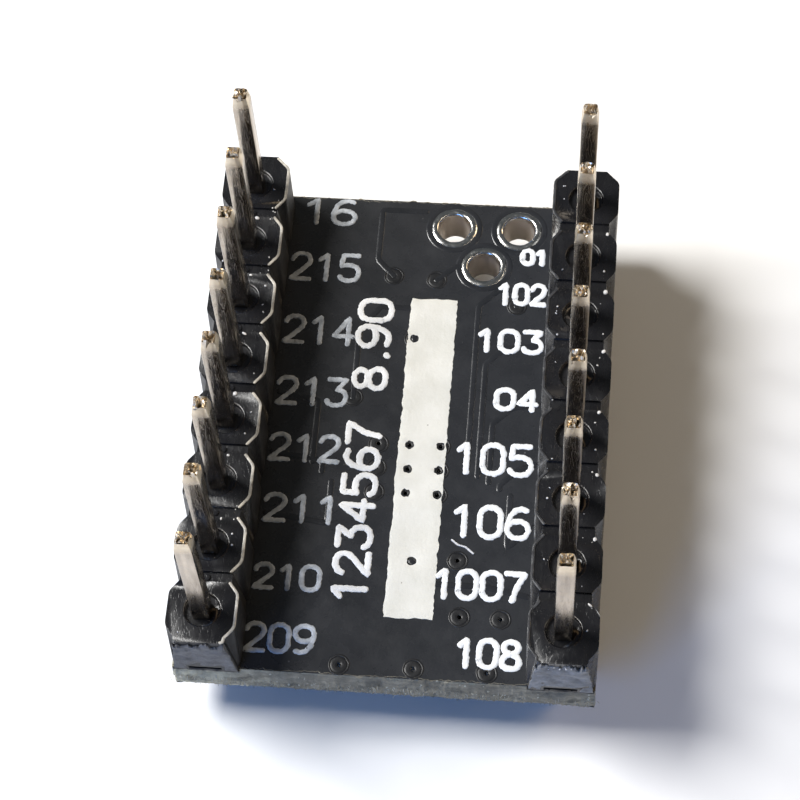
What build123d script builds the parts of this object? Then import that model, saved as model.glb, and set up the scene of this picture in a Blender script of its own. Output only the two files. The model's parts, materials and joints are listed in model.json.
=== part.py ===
from build123d import *
import math
import os

# Stepper driver module: a small two-row carrier board that plugs into a socket by its long pins.
# +Z is the way the long pins point, X runs across the two pin rows and Y along them. The origin
# is under the middle of the board, level with the cut ends of the solder tails that it rests on.
# All sizes are in millimetres.

# ---- pin rows ---------------------------------------------------------------------------------
pitch = 2.54
pins_per_row = 8
row_spacing = 12.7
pin_side = 0.64
pin_corner = 0.07          # flat on each long edge of a pin
tail_reach = 1.5           # solder tail beyond the component face
contact_reach = 6.15       # contact beyond the header body
contact_tip_length = 0.7
contact_tip_side = 0.36
tail_tip_length = 0.35
tail_tip_side = 0.46

# ---- header bodies ----------------------------------------------------------------------------
header_width = 2.5
header_height = 2.54
neck_top_width = 1.84      # across the break groove between two positions, at the top
neck_foot_width = 2.34     # and at the foot, where the groove has almost run out
neck_length = 0.4
groove_run = 0.42          # length of the slope from full width to the neck, at the top
groove_spare = 0.2         # a groove's cutter past the side of the body
end_bevel = 0.5            # corners of the moulded far end
neck_recess = 0.1          # the bridge at a neck is this much lower than the top
gate_radius = 0.13         # moulding gate stub on each bridge
gate_height = 0.07
dimple_radius = 0.62       # shallow well round each pin
dimple_depth = 0.2
dimple_bevel = 0.07
channel_width = 1.2        # channel under the body, along the row
channel_height = 0.26

# ---- board ------------------------------------------------------------------------------------
board_thickness = 1.6
side_margin = 0.02         # board past a header body, each side
end_margin = 0.0           # board past the end of a header body
score_depth = 0.45         # V-score on both faces, all round
score_slope = 0.12
copper = 0.035             # thickness of a land or ring
plating = 0.04             # wall of a plated hole
pin_hole_gap = 0.06        # from a pin's corner to the wall of its hole
pin_ring = 0.29            # width of the ring round a pin's hole

probe_hole_radius = 0.6
probe_ring = 0.29
probe_row_step = 1.7       # from the two outer probe holes to the third, along the board

via_radius = 0.15
signal_via_places = [
    (0.08, 3.85), (0.68, -5.45), (-0.93, 6.6), (0.75, 6.5), (2.58, -7.55), (4.06, -7.55),
    (2.36, -5.33), (3.9, 5.5), (-2.05, 1.18), (-1.6, -9.65), (1.07, -9.65), (3.7, -9.65),
]
thermal_via_pitch_x = 1.17
thermal_via_pitch_y = 1.0
thermal_vias_each_way = 3

# ---- driver chip: a square leadless package, face down under the board --------------------------
chip_x = 0.25
chip_y = -1.72
chip_side = 5.0
chip_height = 0.85
leads_per_side = 7
lead_pitch = 0.5
lead_width = 0.24
lead_length = 0.5
lead_thickness = 0.2
thermal_pad_side = 3.1
die_side = 2.3
die_thickness = 0.25
wire_thickness = 0.05
wire_rise = 0.12
wire_land = 0.14           # from the edge of the die or the lead to the middle of the bond
orientation_dot_radius = 0.25
orientation_dot_depth = 0.05
orientation_dot_inset = 0.65

# ---- trimmer: ceramic base with a film track, and a slotted rotor that carries the wiper --------
trimmer_x = -2.7
trimmer_inset = 0.94       # from the first pin of a row to the rotor's axis, along the row
trimmer_length = 3.6
trimmer_width = 3.0
trimmer_corner = 0.25
trimmer_base_height = 0.55
track_inner_radius = 0.75
track_outer_radius = 1.15
film = 0.03
track_lead_width = 0.45
rotor_turn = 125.0         # each way from the middle
rotor_radius = 1.2
rotor_thickness = 0.35
rotor_bevel = 0.07
slot_width = 0.38
slot_length = 1.7
slot_depth = 0.22
lug_radius = 1.42          # widened part of the rotor, which meets the stop
stop_half_angle = 15.0
stop_spare_angle = 1.0
stop_inner_radius = 1.25
stop_outer_radius = 1.6
stop_height = 0.36
shaft_radius = 0.35
shaft_clearance = 0.03
pocket_radius = 0.72
pocket_depth = 0.27
collar_radius = 0.62
collar_thickness = 0.1
axial_gap = 0.02
wiper_thickness = 0.1
wiper_hub_radius = 0.6
wiper_arm_width = 0.5
wiper_nib_radius = 0.15
terminal_thickness = 0.08
terminal_width = 0.6
terminal_hook = 0.22       # part of an end terminal that lies on the track's end
wiper_terminal_width = 0.5
wiper_plate_width = 1.2

# ---- chip resistors and capacitors ------------------------------------------------------------
cap_wall = 0.03            # thickness of a metal end cap
capacitor_round = 0.05     # rounding of a capacitor's long edges
large_length = 3.2
large_width = 1.6
large_end = 0.5
sense_resistor_height = 0.6
bulk_capacitor_height = 1.25
small_length = 1.6
small_width = 0.8
small_end = 0.32
small_capacitor_height = 0.8
small_resistor_height = 0.45
solder_film = 0.03         # between a part and its land
solder_rise = 0.75         # share of an end cap's height that the solder climbs
land_reach = 0.32          # land beyond the end of a part
chip_land_reach = 0.3
part_gap = 0.5             # clear board between the chip's lands and its neighbours
row_gap = 0.58             # clear board between two rows of large parts
column_gap = 0.42          # clear board between two lands in a row
jumper_land_length = 1.0
jumper_land_width = 0.6
jumper_gap = 0.2
jumper_y = -9.0
jumper_x = -0.4

# ---- levels and places worked out from the sizes above ------------------------------------------
component_face = tail_reach
pin_face = component_face + board_thickness
header_seat = pin_face + copper
header_top = header_seat + header_height
contact_end = header_top + contact_reach
land_face = component_face - copper
part_seat = land_face - solder_film

header_length = pins_per_row * pitch
board_length = header_length + 2 * end_margin
board_width = row_spacing + header_width + 2 * side_margin
row_x = row_spacing / 2
pin_y = [(pins_per_row - 1 - 2 * place) * pitch / 2 for place in range(pins_per_row)]

pin_hole_radius = pin_side / math.sqrt(2) - pin_corner / math.sqrt(2) + pin_hole_gap
pin_ring_radius = pin_hole_radius + pin_ring
probe_ring_radius = probe_hole_radius + probe_ring
probe_hole_places = [
    (pitch / 2, pin_y[0]),
    (1.5 * pitch, pin_y[0]),
    (pitch, pin_y[0] - probe_row_step),
]
trimmer_y = pin_y[0] - trimmer_inset

chip_bottom = part_seat - chip_height
lead_face = part_seat - lead_thickness
die_face = lead_face - die_thickness
chip_edge_left = chip_x - chip_side / 2 - chip_land_reach
chip_edge_right = chip_x + chip_side / 2 + chip_land_reach
chip_edge_near = chip_y - chip_side / 2 - chip_land_reach
chip_edge_far = chip_y + chip_side / 2 + chip_land_reach

large_half = large_length / 2 + land_reach
small_half = small_length / 2 + land_reach
sense_y = chip_edge_far + part_gap + large_width / 2
bulk_y = sense_y + large_width + row_gap
large_left_x = chip_x - column_gap / 2 - large_half
large_right_x = chip_x + column_gap / 2 + large_half
side_left_x = chip_edge_left - part_gap - small_width / 2
side_right_x = chip_edge_right + part_gap + small_width / 2
side_step = small_half + column_gap / 2
near_row_y = chip_edge_near - part_gap - small_width / 2
near_step = 2 * small_half + column_gap
resistor_row_y = near_row_y - small_width - 2 * part_gap

sense_places = [(large_left_x, sense_y), (large_right_x, sense_y)]
bulk_places = [(large_left_x, bulk_y), (large_right_x, bulk_y)]
small_capacitor_places = [
    (side_left_x, chip_y + side_step, 90),
    (side_left_x, chip_y - side_step, 90),
    (side_right_x, chip_y + side_step, 90),
    (side_right_x, chip_y - side_step, 90),
    (chip_x - near_step, near_row_y, 0),
    (chip_x, near_row_y, 0),
    (chip_x + near_step, near_row_y, 0),
]
small_resistor_places = [
    (chip_x + (step - 1.5) * near_step, resistor_row_y, 0) for step in range(4)
]

track_half_angle = rotor_turn + 12.0
lug_half_angle = 180.0 - rotor_turn - stop_half_angle - stop_spare_angle
base_face = part_seat - trimmer_base_height
track_face = base_face - film
wiper_back = track_face - axial_gap - wiper_thickness
nib_reach = track_face - axial_gap
rotor_face = wiper_back - rotor_thickness
pocket_floor = part_seat - pocket_depth
track_middle_radius = (track_inner_radius + track_outer_radius) / 2
track_end_y = track_middle_radius * math.sin(math.radians(track_half_angle))
track_end_x = track_middle_radius * math.cos(math.radians(track_half_angle))

os.makedirs("parts", exist_ok=True)


def save(part, name):
    """Label one piece and write it as its own file."""
    part.label = name
    export_step(part, "parts/" + name + ".step")


def pin_outline(side):
    """The corners of a square pin's section, with a small flat on each long edge."""
    half = side / 2
    inner = half - pin_corner
    return [
        (half, inner), (inner, half), (-inner, half), (-half, inner),
        (-half, -inner), (-inner, -half), (inner, -half), (half, -inner),
    ]


def ring_points(radius, first, last, steps):
    """Points along an arc about the middle, angles in degrees."""
    turn = (last - first) / steps
    angles = [math.radians(first + turn * step) for step in range(steps + 1)]
    return [(radius * math.cos(angle), radius * math.sin(angle)) for angle in angles]


# ---- circuit board ----------------------------------------------------------------------------
score_angle = math.degrees(math.atan(score_slope / score_depth))

with BuildPart() as circuit_board:
    with BuildSketch(Plane.XY.offset(component_face + score_depth)):
        Rectangle(board_width, board_length)
    extrude(amount=board_thickness - 2 * score_depth)
    with BuildSketch(Plane.XY.offset(pin_face - score_depth)):
        Rectangle(board_width, board_length)
    extrude(amount=score_depth, taper=score_angle)
    with BuildSketch(Plane.XY.offset(component_face + score_depth)):
        Rectangle(board_width, board_length)
    extrude(amount=-score_depth, taper=score_angle)
    with BuildSketch(Plane.XY.offset(component_face)):
        with GridLocations(row_spacing, pitch, 2, pins_per_row):
            Circle(pin_hole_radius + plating)
        with Locations(*probe_hole_places):
            Circle(probe_hole_radius + plating)
        with Locations(*signal_via_places):
            Circle(via_radius + plating)
        with Locations((chip_x, chip_y)):
            with GridLocations(
                thermal_via_pitch_x, thermal_via_pitch_y, thermal_vias_each_way, thermal_vias_each_way
            ):
                Circle(via_radius + plating)
    extrude(amount=board_thickness, mode=Mode.SUBTRACT)
save(circuit_board.part, "circuit_board")


# ---- plated holes -----------------------------------------------------------------------------
def plated_holes(places, hole_radius, ring_radius):
    """Copper tubes through the board, each with a flat ring on both faces."""
    with BuildPart() as tubes:
        with BuildSketch(Plane.XY.offset(pin_face)):
            with Locations(*places):
                Circle(hole_radius + plating)
        extrude(amount=-board_thickness)
        for level, amount in ((pin_face, copper), (component_face, -copper)):
            with BuildSketch(Plane.XY.offset(level)):
                with Locations(*places):
                    Circle(ring_radius)
            extrude(amount=amount)
        with BuildSketch(Plane.XY.offset(header_seat)):
            with Locations(*places):
                Circle(hole_radius)
        extrude(amount=land_face - header_seat, mode=Mode.SUBTRACT)
    return tubes.part


def via_tubes(places):
    """Thin copper tubes that end flush with both faces of the board."""
    with BuildPart() as tubes:
        with BuildSketch(Plane.XY.offset(component_face)):
            with Locations(*places):
                Circle(via_radius + plating)
                Circle(via_radius, mode=Mode.SUBTRACT)
        extrude(amount=board_thickness)
    return tubes.part


pin_places = [(side * row_x, y) for side in (-1, 1) for y in pin_y]
save(plated_holes(pin_places, pin_hole_radius, pin_ring_radius), "pin_hole_plating")
save(plated_holes(probe_hole_places, probe_hole_radius, probe_ring_radius), "board_probe_holes")

thermal_offsets = [step - (thermal_vias_each_way - 1) / 2 for step in range(thermal_vias_each_way)]
thermal_via_places = [
    (chip_x + across * thermal_via_pitch_x, chip_y + along * thermal_via_pitch_y)
    for across in thermal_offsets
    for along in thermal_offsets
]
save(via_tubes(signal_via_places), "signal_vias")
save(via_tubes(thermal_via_places), "thermal_vias")


# ---- header bodies ----------------------------------------------------------------------------
def groove_outline(side, neck):
    """The plan of a break groove on one side of a row, at the level where the neck is this wide."""
    half = header_width / 2
    slope = groove_run / (half - neck_top_width / 2)
    end = neck_length / 2
    mouth = end + slope * (half - neck / 2)
    outer = half + groove_spare
    points = [
        (outer, mouth), (half, mouth), (neck / 2, end),
        (neck / 2, -end), (half, -mouth), (outer, -mouth),
    ]
    return [(side * px, side * py) for px, py in points]


def groove_cutters(x, places):
    """Wedges for both sides of each neck, deepest at the top of the body."""
    with BuildPart() as cutters:
        for y in places:
            for side in (-1, 1):
                with BuildSketch(Plane((x, y, header_seat))):
                    Polygon(*groove_outline(side, neck_foot_width), align=None)
                with BuildSketch(Plane((x, y, header_top))):
                    Polygon(*groove_outline(side, neck_top_width), align=None)
                loft(ruled=True)
    return cutters.part


def header_body(x):
    """One moulded strip of positions, with break grooves between them."""
    half = header_width / 2
    end = header_length / 2
    outline = [
        (half, -end), (half, end - end_bevel), (half - end_bevel, end),
        (end_bevel - half, end), (-half, end - end_bevel), (-half, -end),
    ]
    bridges = [(x, y - pitch / 2) for y in pin_y[:-1]]
    cutters = groove_cutters(x, [y - pitch / 2 for y in pin_y])
    with BuildPart() as body:
        with BuildSketch(Plane((x, 0, header_seat))):
            Polygon(*outline, align=None)
        extrude(amount=header_height)
        add(cutters, mode=Mode.SUBTRACT)
        with BuildSketch(Plane.XY.offset(header_top)):
            with Locations(*bridges):
                Rectangle(header_width, neck_length)
        extrude(amount=-neck_recess, mode=Mode.SUBTRACT)
        with BuildSketch(Plane.XY.offset(header_top - neck_recess)):
            with Locations(*bridges):
                Circle(gate_radius)
        extrude(amount=gate_height)
        with BuildSketch(Plane.XY.offset(header_top)):
            with Locations(*[(x, y) for y in pin_y]):
                Circle(dimple_radius + dimple_bevel)
        extrude(amount=-dimple_bevel, taper=45, mode=Mode.SUBTRACT)
        with BuildSketch(Plane.XY.offset(header_top)):
            with Locations(*[(x, y) for y in pin_y]):
                Circle(dimple_radius)
        extrude(amount=-dimple_depth, mode=Mode.SUBTRACT)
        with BuildSketch(Plane.XY.offset(header_seat)):
            with Locations((x, 0)):
                Rectangle(channel_width, header_length)
        extrude(amount=channel_height, mode=Mode.SUBTRACT)
        with BuildSketch(Plane.XY.offset(header_seat)):
            with Locations(*[(x, y) for y in pin_y]):
                Polygon(*pin_outline(pin_side), align=None)
        extrude(amount=header_height, mode=Mode.SUBTRACT)
    return body.part


save(header_body(-row_x), "left_header_body")
save(header_body(row_x), "right_header_body")


# ---- pins -------------------------------------------------------------------------------------
def tip_outline(side):
    """A pin's section drawn down to a smaller square."""
    return [(px * side / pin_side, py * side / pin_side) for px, py in pin_outline(pin_side)]


def header_pin(x, y):
    """One square pin: solder tail, shank and contact, drawn in at both ends."""
    shank_start = tail_tip_length
    shank_end = contact_end - contact_tip_length
    with BuildPart() as pin:
        with BuildSketch(Plane((x, y, shank_start))):
            Polygon(*pin_outline(pin_side), align=None)
        extrude(amount=shank_end - shank_start)
        with BuildSketch(Plane((x, y, shank_end))):
            Polygon(*pin_outline(pin_side), align=None)
        with BuildSketch(Plane((x, y, contact_end))):
            Polygon(*tip_outline(contact_tip_side), align=None)
        loft()
        with BuildSketch(Plane((x, y, 0))):
            Polygon(*tip_outline(tail_tip_side), align=None)
        with BuildSketch(Plane((x, y, shank_start))):
            Polygon(*pin_outline(pin_side), align=None)
        loft()
    return pin.part


for side_name, side_x in (("left", -row_x), ("right", row_x)):
    for place, y in enumerate(pin_y):
        save(header_pin(side_x, y), "{}_header_pin_{}".format(side_name, place + 1))


# ---- solder of the pin rows: it fills each hole and climbs the tail ------------------------------
joint_height = 0.95
joint_neck_radius = pin_hole_radius + 0.02
joint_waist_radius = pin_hole_radius + 0.11
joint_foot_radius = pin_ring_radius - 0.04


def row_solder(x):
    """The solder joints of one row."""
    joint_profile = [
        (0, land_face - joint_height),
        (joint_neck_radius, land_face - joint_height),
        (joint_waist_radius, land_face - 0.45 * joint_height),
        (joint_foot_radius, land_face),
        (pin_hole_radius, land_face),
        (pin_hole_radius, pin_face),
        (0, pin_face),
    ]
    with BuildPart() as joints:
        for y in pin_y:
            with BuildSketch(Plane((x, y, 0), x_dir=(1, 0, 0), z_dir=(0, -1, 0))):
                Polygon(*joint_profile, align=None)
            revolve(axis=Axis((x, y, 0), (0, 0, 1)))
        with BuildSketch(Plane.XY):
            with Locations(*[(x, y) for y in pin_y]):
                Polygon(*pin_outline(pin_side), align=None)
        extrude(amount=contact_end, mode=Mode.SUBTRACT)
    return joints.part


save(row_solder(-row_x), "left_header_solder")
save(row_solder(row_x), "right_header_solder")


# ---- driver chip ------------------------------------------------------------------------------
lead_offsets = [(step - (leads_per_side - 1) / 2) * lead_pitch for step in range(leads_per_side)]
chip_sides = [(1, 0), (0, 1), (-1, 0), (0, -1)]


def chip_edge_places(inset):
    """Places along the four sides of the chip, this far in from its edge, with their turn."""
    reach = chip_side / 2 - inset
    return [
        Location(
            (
                chip_x + out_x * reach - out_y * offset,
                chip_y + out_y * reach + out_x * offset,
                0,
            ),
            (0, 0, 90 * turn),
        )
        for turn, (out_x, out_y) in enumerate(chip_sides)
        for offset in lead_offsets
    ]


with BuildPart() as driver_chip_leads:
    with BuildSketch(Plane.XY.offset(part_seat)):
        with Locations(*chip_edge_places(lead_length / 2)):
            Rectangle(lead_length, lead_width)
    extrude(amount=-lead_thickness)
save(driver_chip_leads.part, "driver_chip_leads")

with BuildPart() as driver_chip_thermal_pad:
    with BuildSketch(Plane.XY.offset(part_seat)):
        with Locations((chip_x, chip_y)):
            Rectangle(thermal_pad_side, thermal_pad_side)
    extrude(amount=-lead_thickness)
save(driver_chip_thermal_pad.part, "driver_chip_thermal_pad")

with BuildPart() as driver_chip_die:
    with BuildSketch(Plane.XY.offset(lead_face)):
        with Locations((chip_x, chip_y)):
            Rectangle(die_side, die_side)
    extrude(amount=-die_thickness)
save(driver_chip_die.part, "driver_chip_die")

with BuildPart() as driver_chip_bond_wires:
    for out_x, out_y in chip_sides:
        for offset in lead_offsets:
            die_reach = die_side / 2 - wire_land
            die_offset = offset * die_reach / (leads_per_side * lead_pitch / 2)
            lead_reach = chip_side / 2 - lead_length + wire_land
            start = Vector(
                chip_x + out_x * die_reach - out_y * die_offset,
                chip_y + out_y * die_reach + out_x * die_offset,
                0,
            )
            end = Vector(
                chip_x + out_x * lead_reach - out_y * offset,
                chip_y + out_y * lead_reach + out_x * offset,
                0,
            )
            run = (end - start).length
            along = (end - start).normalized()
            peak = die_face - wire_rise
            with BuildSketch(Plane(start, x_dir=along, z_dir=along.cross(Vector(0, 0, 1)))):
                Polygon(
                    (0, die_face),
                    (0, peak),
                    (run / 2, peak),
                    (run, lead_face - 2 * wire_thickness),
                    (run, lead_face),
                    (run - wire_thickness, lead_face),
                    (run / 2 - wire_thickness, peak + wire_thickness),
                    (wire_thickness, peak + wire_thickness),
                    (wire_thickness, die_face),
                    align=None,
                )
            extrude(amount=wire_thickness / 2, both=True)
save(driver_chip_bond_wires.part, "driver_chip_bond_wires")

with BuildPart() as driver_chip_body:
    with BuildSketch(Plane.XY.offset(part_seat)):
        with Locations((chip_x, chip_y)):
            Rectangle(chip_side, chip_side)
    extrude(amount=-chip_height)
    with BuildSketch(Plane.XY.offset(chip_bottom)):
        dot_reach = chip_side / 2 - orientation_dot_inset
        with Locations((chip_x - dot_reach, chip_y + dot_reach)):
            Circle(orientation_dot_radius)
    extrude(amount=orientation_dot_depth, mode=Mode.SUBTRACT)
    add(driver_chip_leads.part, mode=Mode.SUBTRACT)
    add(driver_chip_thermal_pad.part, mode=Mode.SUBTRACT)
    add(driver_chip_die.part, mode=Mode.SUBTRACT)
    add(driver_chip_bond_wires.part, mode=Mode.SUBTRACT)
save(driver_chip_body.part, "driver_chip_body")

with BuildPart() as driver_chip_solder:
    with BuildSketch(Plane.XY.offset(land_face)):
        with Locations(*chip_edge_places(lead_length / 2)):
            Rectangle(lead_length, lead_width)
        with Locations((chip_x, chip_y)):
            Rectangle(thermal_pad_side, thermal_pad_side)
    extrude(amount=-solder_film)
save(driver_chip_solder.part, "driver_chip_solder")


# ---- trimmer ----------------------------------------------------------------------------------
def trimmer_plane(level):
    """A plane at this height with its origin on the rotor's axis."""
    return Plane((trimmer_x, trimmer_y, level))


with BuildPart() as trimmer_base:
    with BuildSketch(trimmer_plane(part_seat)):
        Rectangle(trimmer_length, trimmer_width)
    extrude(amount=-trimmer_base_height)
    chamfer(trimmer_base.edges().filter_by(Axis.Z), trimmer_corner)
    with BuildSketch(trimmer_plane(base_face)):
        Polygon(
            *ring_points(stop_outer_radius, 180 - stop_half_angle, 180 + stop_half_angle, 6),
            *ring_points(stop_inner_radius, 180 + stop_half_angle, 180 - stop_half_angle, 6),
            align=None,
        )
    extrude(amount=-stop_height)
    with BuildSketch(trimmer_plane(part_seat)):
        Circle(pocket_radius)
        with Locations((trimmer_length / 4, 0)):
            Rectangle(trimmer_length / 2, wiper_terminal_width)
    extrude(amount=-pocket_depth, mode=Mode.SUBTRACT)
    with BuildSketch(trimmer_plane(part_seat)):
        Circle(shaft_radius + shaft_clearance)
    extrude(amount=-trimmer_base_height, mode=Mode.SUBTRACT)
save(trimmer_base.part, "trimmer_base")

with BuildPart() as trimmer_track:
    with BuildSketch(trimmer_plane(base_face)):
        Circle(track_outer_radius)
        Circle(track_inner_radius, mode=Mode.SUBTRACT)
        gap_edge = 2 * track_outer_radius
        Polygon(
            (0, 0),
            *ring_points(gap_edge, track_half_angle, 360 - track_half_angle, 2),
            align=None,
            mode=Mode.SUBTRACT,
        )
        lead_run = trimmer_length / 2 + track_end_x
        with Locations(
            (track_end_x - lead_run / 2, track_end_y), (track_end_x - lead_run / 2, -track_end_y)
        ):
            Rectangle(lead_run, track_lead_width)
    extrude(amount=-film)
save(trimmer_track.part, "trimmer_track")

with BuildPart() as trimmer_end_terminals:
    for side in (-1, 1):
        with BuildSketch(trimmer_plane(track_face)):
            with Locations((-trimmer_length / 2 + terminal_hook / 2, side * track_end_y)):
                Rectangle(terminal_hook, terminal_width)
        extrude(amount=-terminal_thickness)
        with BuildSketch(trimmer_plane(part_seat)):
            with Locations((-trimmer_length / 2 - terminal_thickness / 2, side * track_end_y)):
                Rectangle(terminal_thickness, terminal_width)
        extrude(amount=-(part_seat - track_face + terminal_thickness))
save(trimmer_end_terminals.part, "trimmer_end_terminals")

with BuildPart() as trimmer_wiper_terminal:
    with BuildSketch(trimmer_plane(pocket_floor)):
        Circle(pocket_radius - terminal_thickness)
        with Locations((trimmer_length / 4, 0)):
            Rectangle(trimmer_length / 2, wiper_terminal_width)
        Circle(shaft_radius + shaft_clearance, mode=Mode.SUBTRACT)
    extrude(amount=terminal_thickness)
    with BuildSketch(trimmer_plane(part_seat)):
        with Locations((trimmer_length / 2 + terminal_thickness / 2, 0)):
            Rectangle(terminal_thickness, wiper_plate_width)
    extrude(amount=-trimmer_base_height)
save(trimmer_wiper_terminal.part, "trimmer_wiper_terminal")

collar_start = pocket_floor + terminal_thickness + axial_gap

with BuildPart() as trimmer_rotor:
    with BuildSketch(trimmer_plane(rotor_face)):
        Circle(rotor_radius)
        Polygon(
            (0, 0),
            *ring_points(lug_radius, -lug_half_angle, lug_half_angle, 12),
            align=None,
        )
    extrude(amount=rotor_thickness)
    chamfer(trimmer_rotor.faces().sort_by(Axis.Z)[0].edges(), rotor_bevel)
    with BuildSketch(trimmer_plane(rotor_face)):
        Rectangle(slot_length, slot_width)
        Rectangle(slot_width, slot_length)
    extrude(amount=slot_depth, mode=Mode.SUBTRACT)
    with BuildSketch(trimmer_plane(rotor_face + rotor_thickness)):
        Circle(shaft_radius)
    extrude(amount=collar_start + collar_thickness - rotor_face - rotor_thickness)
save(trimmer_rotor.part, "trimmer_rotor")

with BuildPart() as trimmer_wiper:
    with BuildSketch(trimmer_plane(wiper_back)):
        Circle(wiper_hub_radius)
        with Locations((track_middle_radius / 2, 0)):
            Rectangle(track_middle_radius, wiper_arm_width)
        with Locations((track_middle_radius, 0)):
            Circle(wiper_arm_width / 2)
        Circle(shaft_radius, mode=Mode.SUBTRACT)
    extrude(amount=wiper_thickness - axial_gap)
    with BuildSketch(trimmer_plane(nib_reach)):
        with Locations((track_middle_radius, 0)):
            Circle(wiper_nib_radius)
    extrude(amount=-axial_gap)
save(trimmer_wiper.part, "trimmer_wiper")

with BuildPart() as trimmer_shaft_collar:
    with BuildSketch(trimmer_plane(collar_start)):
        Circle(collar_radius)
        Circle(shaft_radius, mode=Mode.SUBTRACT)
    extrude(amount=collar_thickness)
save(trimmer_shaft_collar.part, "trimmer_shaft_collar")


# ---- chip resistors and capacitors ------------------------------------------------------------
def part_spots(places, height):
    """Locations for the middle of each part of a group, with its turn if it has one."""
    level = part_seat - height / 2
    return [Location((place[0], place[1], level), (0, 0, (*place, 0)[2])) for place in places]


def passive_bodies(places, length, width, height):
    """Ceramic blocks that sit inside their end caps."""
    with BuildPart() as bodies:
        with Locations(*part_spots(places, height)):
            Box(length - 2 * cap_wall, width - 2 * cap_wall, height - 2 * cap_wall)
    return bodies.part


def passive_end_caps(places, length, width, height, end, rounding):
    """A metal cap on both ends of each block."""
    with BuildPart() as caps:
        with Locations(*part_spots(places, height)):
            with Locations((end / 2 - length / 2, 0, 0), (length / 2 - end / 2, 0, 0)):
                Box(end, width, height)
        if rounding:
            fillet(caps.edges().filter_by(Axis.Z), rounding)
        add(passive_bodies(places, length, width, height), mode=Mode.SUBTRACT)
    return caps.part


def resistor_elements(places, length, width, height, end):
    """The glazed resistive film on the outer face, between the end caps."""
    level = part_seat - height + cap_wall
    with BuildPart() as elements:
        with Locations(*[Location((*place[:2], level), (0, 0, (*place, 0)[2])) for place in places]):
            Box(length - 2 * end, width - 4 * cap_wall, cap_wall, align=(Align.CENTER, Align.CENTER, Align.MAX))
    return elements.part


for number, place in enumerate(sense_places, start=1):
    name = "sense_resistor_{}".format(number)
    size = (large_length, large_width, sense_resistor_height)
    save(passive_bodies([place], *size), name + "_body")
    save(passive_end_caps([place], *size, large_end, 0), name + "_end_caps")
    save(resistor_elements([place], *size, large_end), name + "_element")

for number, place in enumerate(bulk_places, start=1):
    name = "bulk_capacitor_{}".format(number)
    size = (large_length, large_width, bulk_capacitor_height)
    save(passive_bodies([place], *size), name + "_body")
    save(passive_end_caps([place], *size, large_end, capacitor_round), name + "_end_caps")

small_capacitor = (small_length, small_width, small_capacitor_height)
save(passive_bodies(small_capacitor_places, *small_capacitor), "small_capacitor_bodies")
save(
    passive_end_caps(small_capacitor_places, *small_capacitor, small_end, capacitor_round),
    "small_capacitor_end_caps",
)

small_resistor = (small_length, small_width, small_resistor_height)
save(passive_bodies(small_resistor_places, *small_resistor), "small_resistor_bodies")
save(passive_end_caps(small_resistor_places, *small_resistor, small_end, 0), "small_resistor_end_caps")
save(resistor_elements(small_resistor_places, *small_resistor, small_end), "small_resistor_elements")


# ---- lands and solder of the parts under the board ----------------------------------------------
def end_spots(places, half_length):
    """Both ends of each part, turned so that +X points outwards."""
    spots = []
    for place in places:
        turn = (*place, 0)[2]
        spot = Location((place[0], place[1], 0), (0, 0, turn))
        spots.append(spot * Location((half_length, 0, 0)))
        spots.append(spot * Location((-half_length, 0, 0), (0, 0, 180)))
    return spots


passive_groups = [
    (sense_places, large_length, large_width, sense_resistor_height, large_end),
    (bulk_places, large_length, large_width, bulk_capacitor_height, large_end),
    (small_capacitor_places, small_length, small_width, small_capacitor_height, small_end),
    (small_resistor_places, small_length, small_width, small_resistor_height, small_end),
]
trimmer_ends = [
    (Location((trimmer_x - trimmer_length / 2 - terminal_thickness, trimmer_y + side * track_end_y, 0),
              (0, 0, 180)), terminal_width)
    for side in (-1, 1)
]
trimmer_ends.append(
    (Location((trimmer_x + trimmer_length / 2 + terminal_thickness, trimmer_y, 0)), wiper_plate_width)
)
trimmer_land_inner = 0.3
jumper_step = jumper_land_width + jumper_gap

with BuildPart() as component_lands:
    with BuildSketch(Plane.XY.offset(component_face)):
        for places, length, width, height, end in passive_groups:
            land_length = end + land_reach
            with Locations(*end_spots(places, length / 2)):
                with Locations(((land_reach - end) / 2, 0)):
                    Rectangle(land_length, width)
        with Locations(*chip_edge_places((lead_length - chip_land_reach) / 2)):
            Rectangle(lead_length + chip_land_reach, lead_width)
        with Locations((chip_x, chip_y)):
            Rectangle(thermal_pad_side, thermal_pad_side)
        for spot, width in trimmer_ends:
            with Locations(spot):
                with Locations(((land_reach - trimmer_land_inner) / 2, 0)):
                    Rectangle(land_reach + trimmer_land_inner, width)
        with Locations((jumper_x, jumper_y)):
            with GridLocations(jumper_step, 0, 3, 1):
                Rectangle(jumper_land_width, jumper_land_length)
    extrude(amount=-copper)
save(component_lands.part, "component_lands")


def solder_wedges(ends):
    """Under each end a film of solder, and outside it a fillet that climbs the end's face."""
    with BuildPart() as wedges:
        for spot, under, width, height in ends:
            place = spot.position
            outwards = spot.x_axis.direction
            across = outwards.cross(Vector(0, 0, 1))
            profile = [
                (-under, land_face),
                (solder_reach, land_face),
                (0.3 * solder_reach, part_seat - 0.35 * height),
                (0, part_seat - height),
                (0, part_seat),
                (-under, part_seat),
            ]
            with BuildSketch(Plane((place.X, place.Y, 0), x_dir=outwards, z_dir=across)):
                Polygon(*profile, align=None)
            extrude(amount=width / 2, both=True)
    return wedges.part


solder_reach = 0.8 * land_reach

passive_ends = [
    (spot, end, width, solder_rise * height)
    for places, length, width, height, end in passive_groups
    for spot in end_spots(places, length / 2)
]
save(solder_wedges(passive_ends), "component_solder")

terminal_ends = [
    (spot, terminal_thickness, width, solder_rise * trimmer_base_height) for spot, width in trimmer_ends
]
save(solder_wedges(terminal_ends), "trimmer_solder")
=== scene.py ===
import sys
import json
import logging
import math
from dataclasses import dataclass, field, replace
from enum import Enum
from typing import Callable, Iterator, Optional, Sequence, Union

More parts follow.
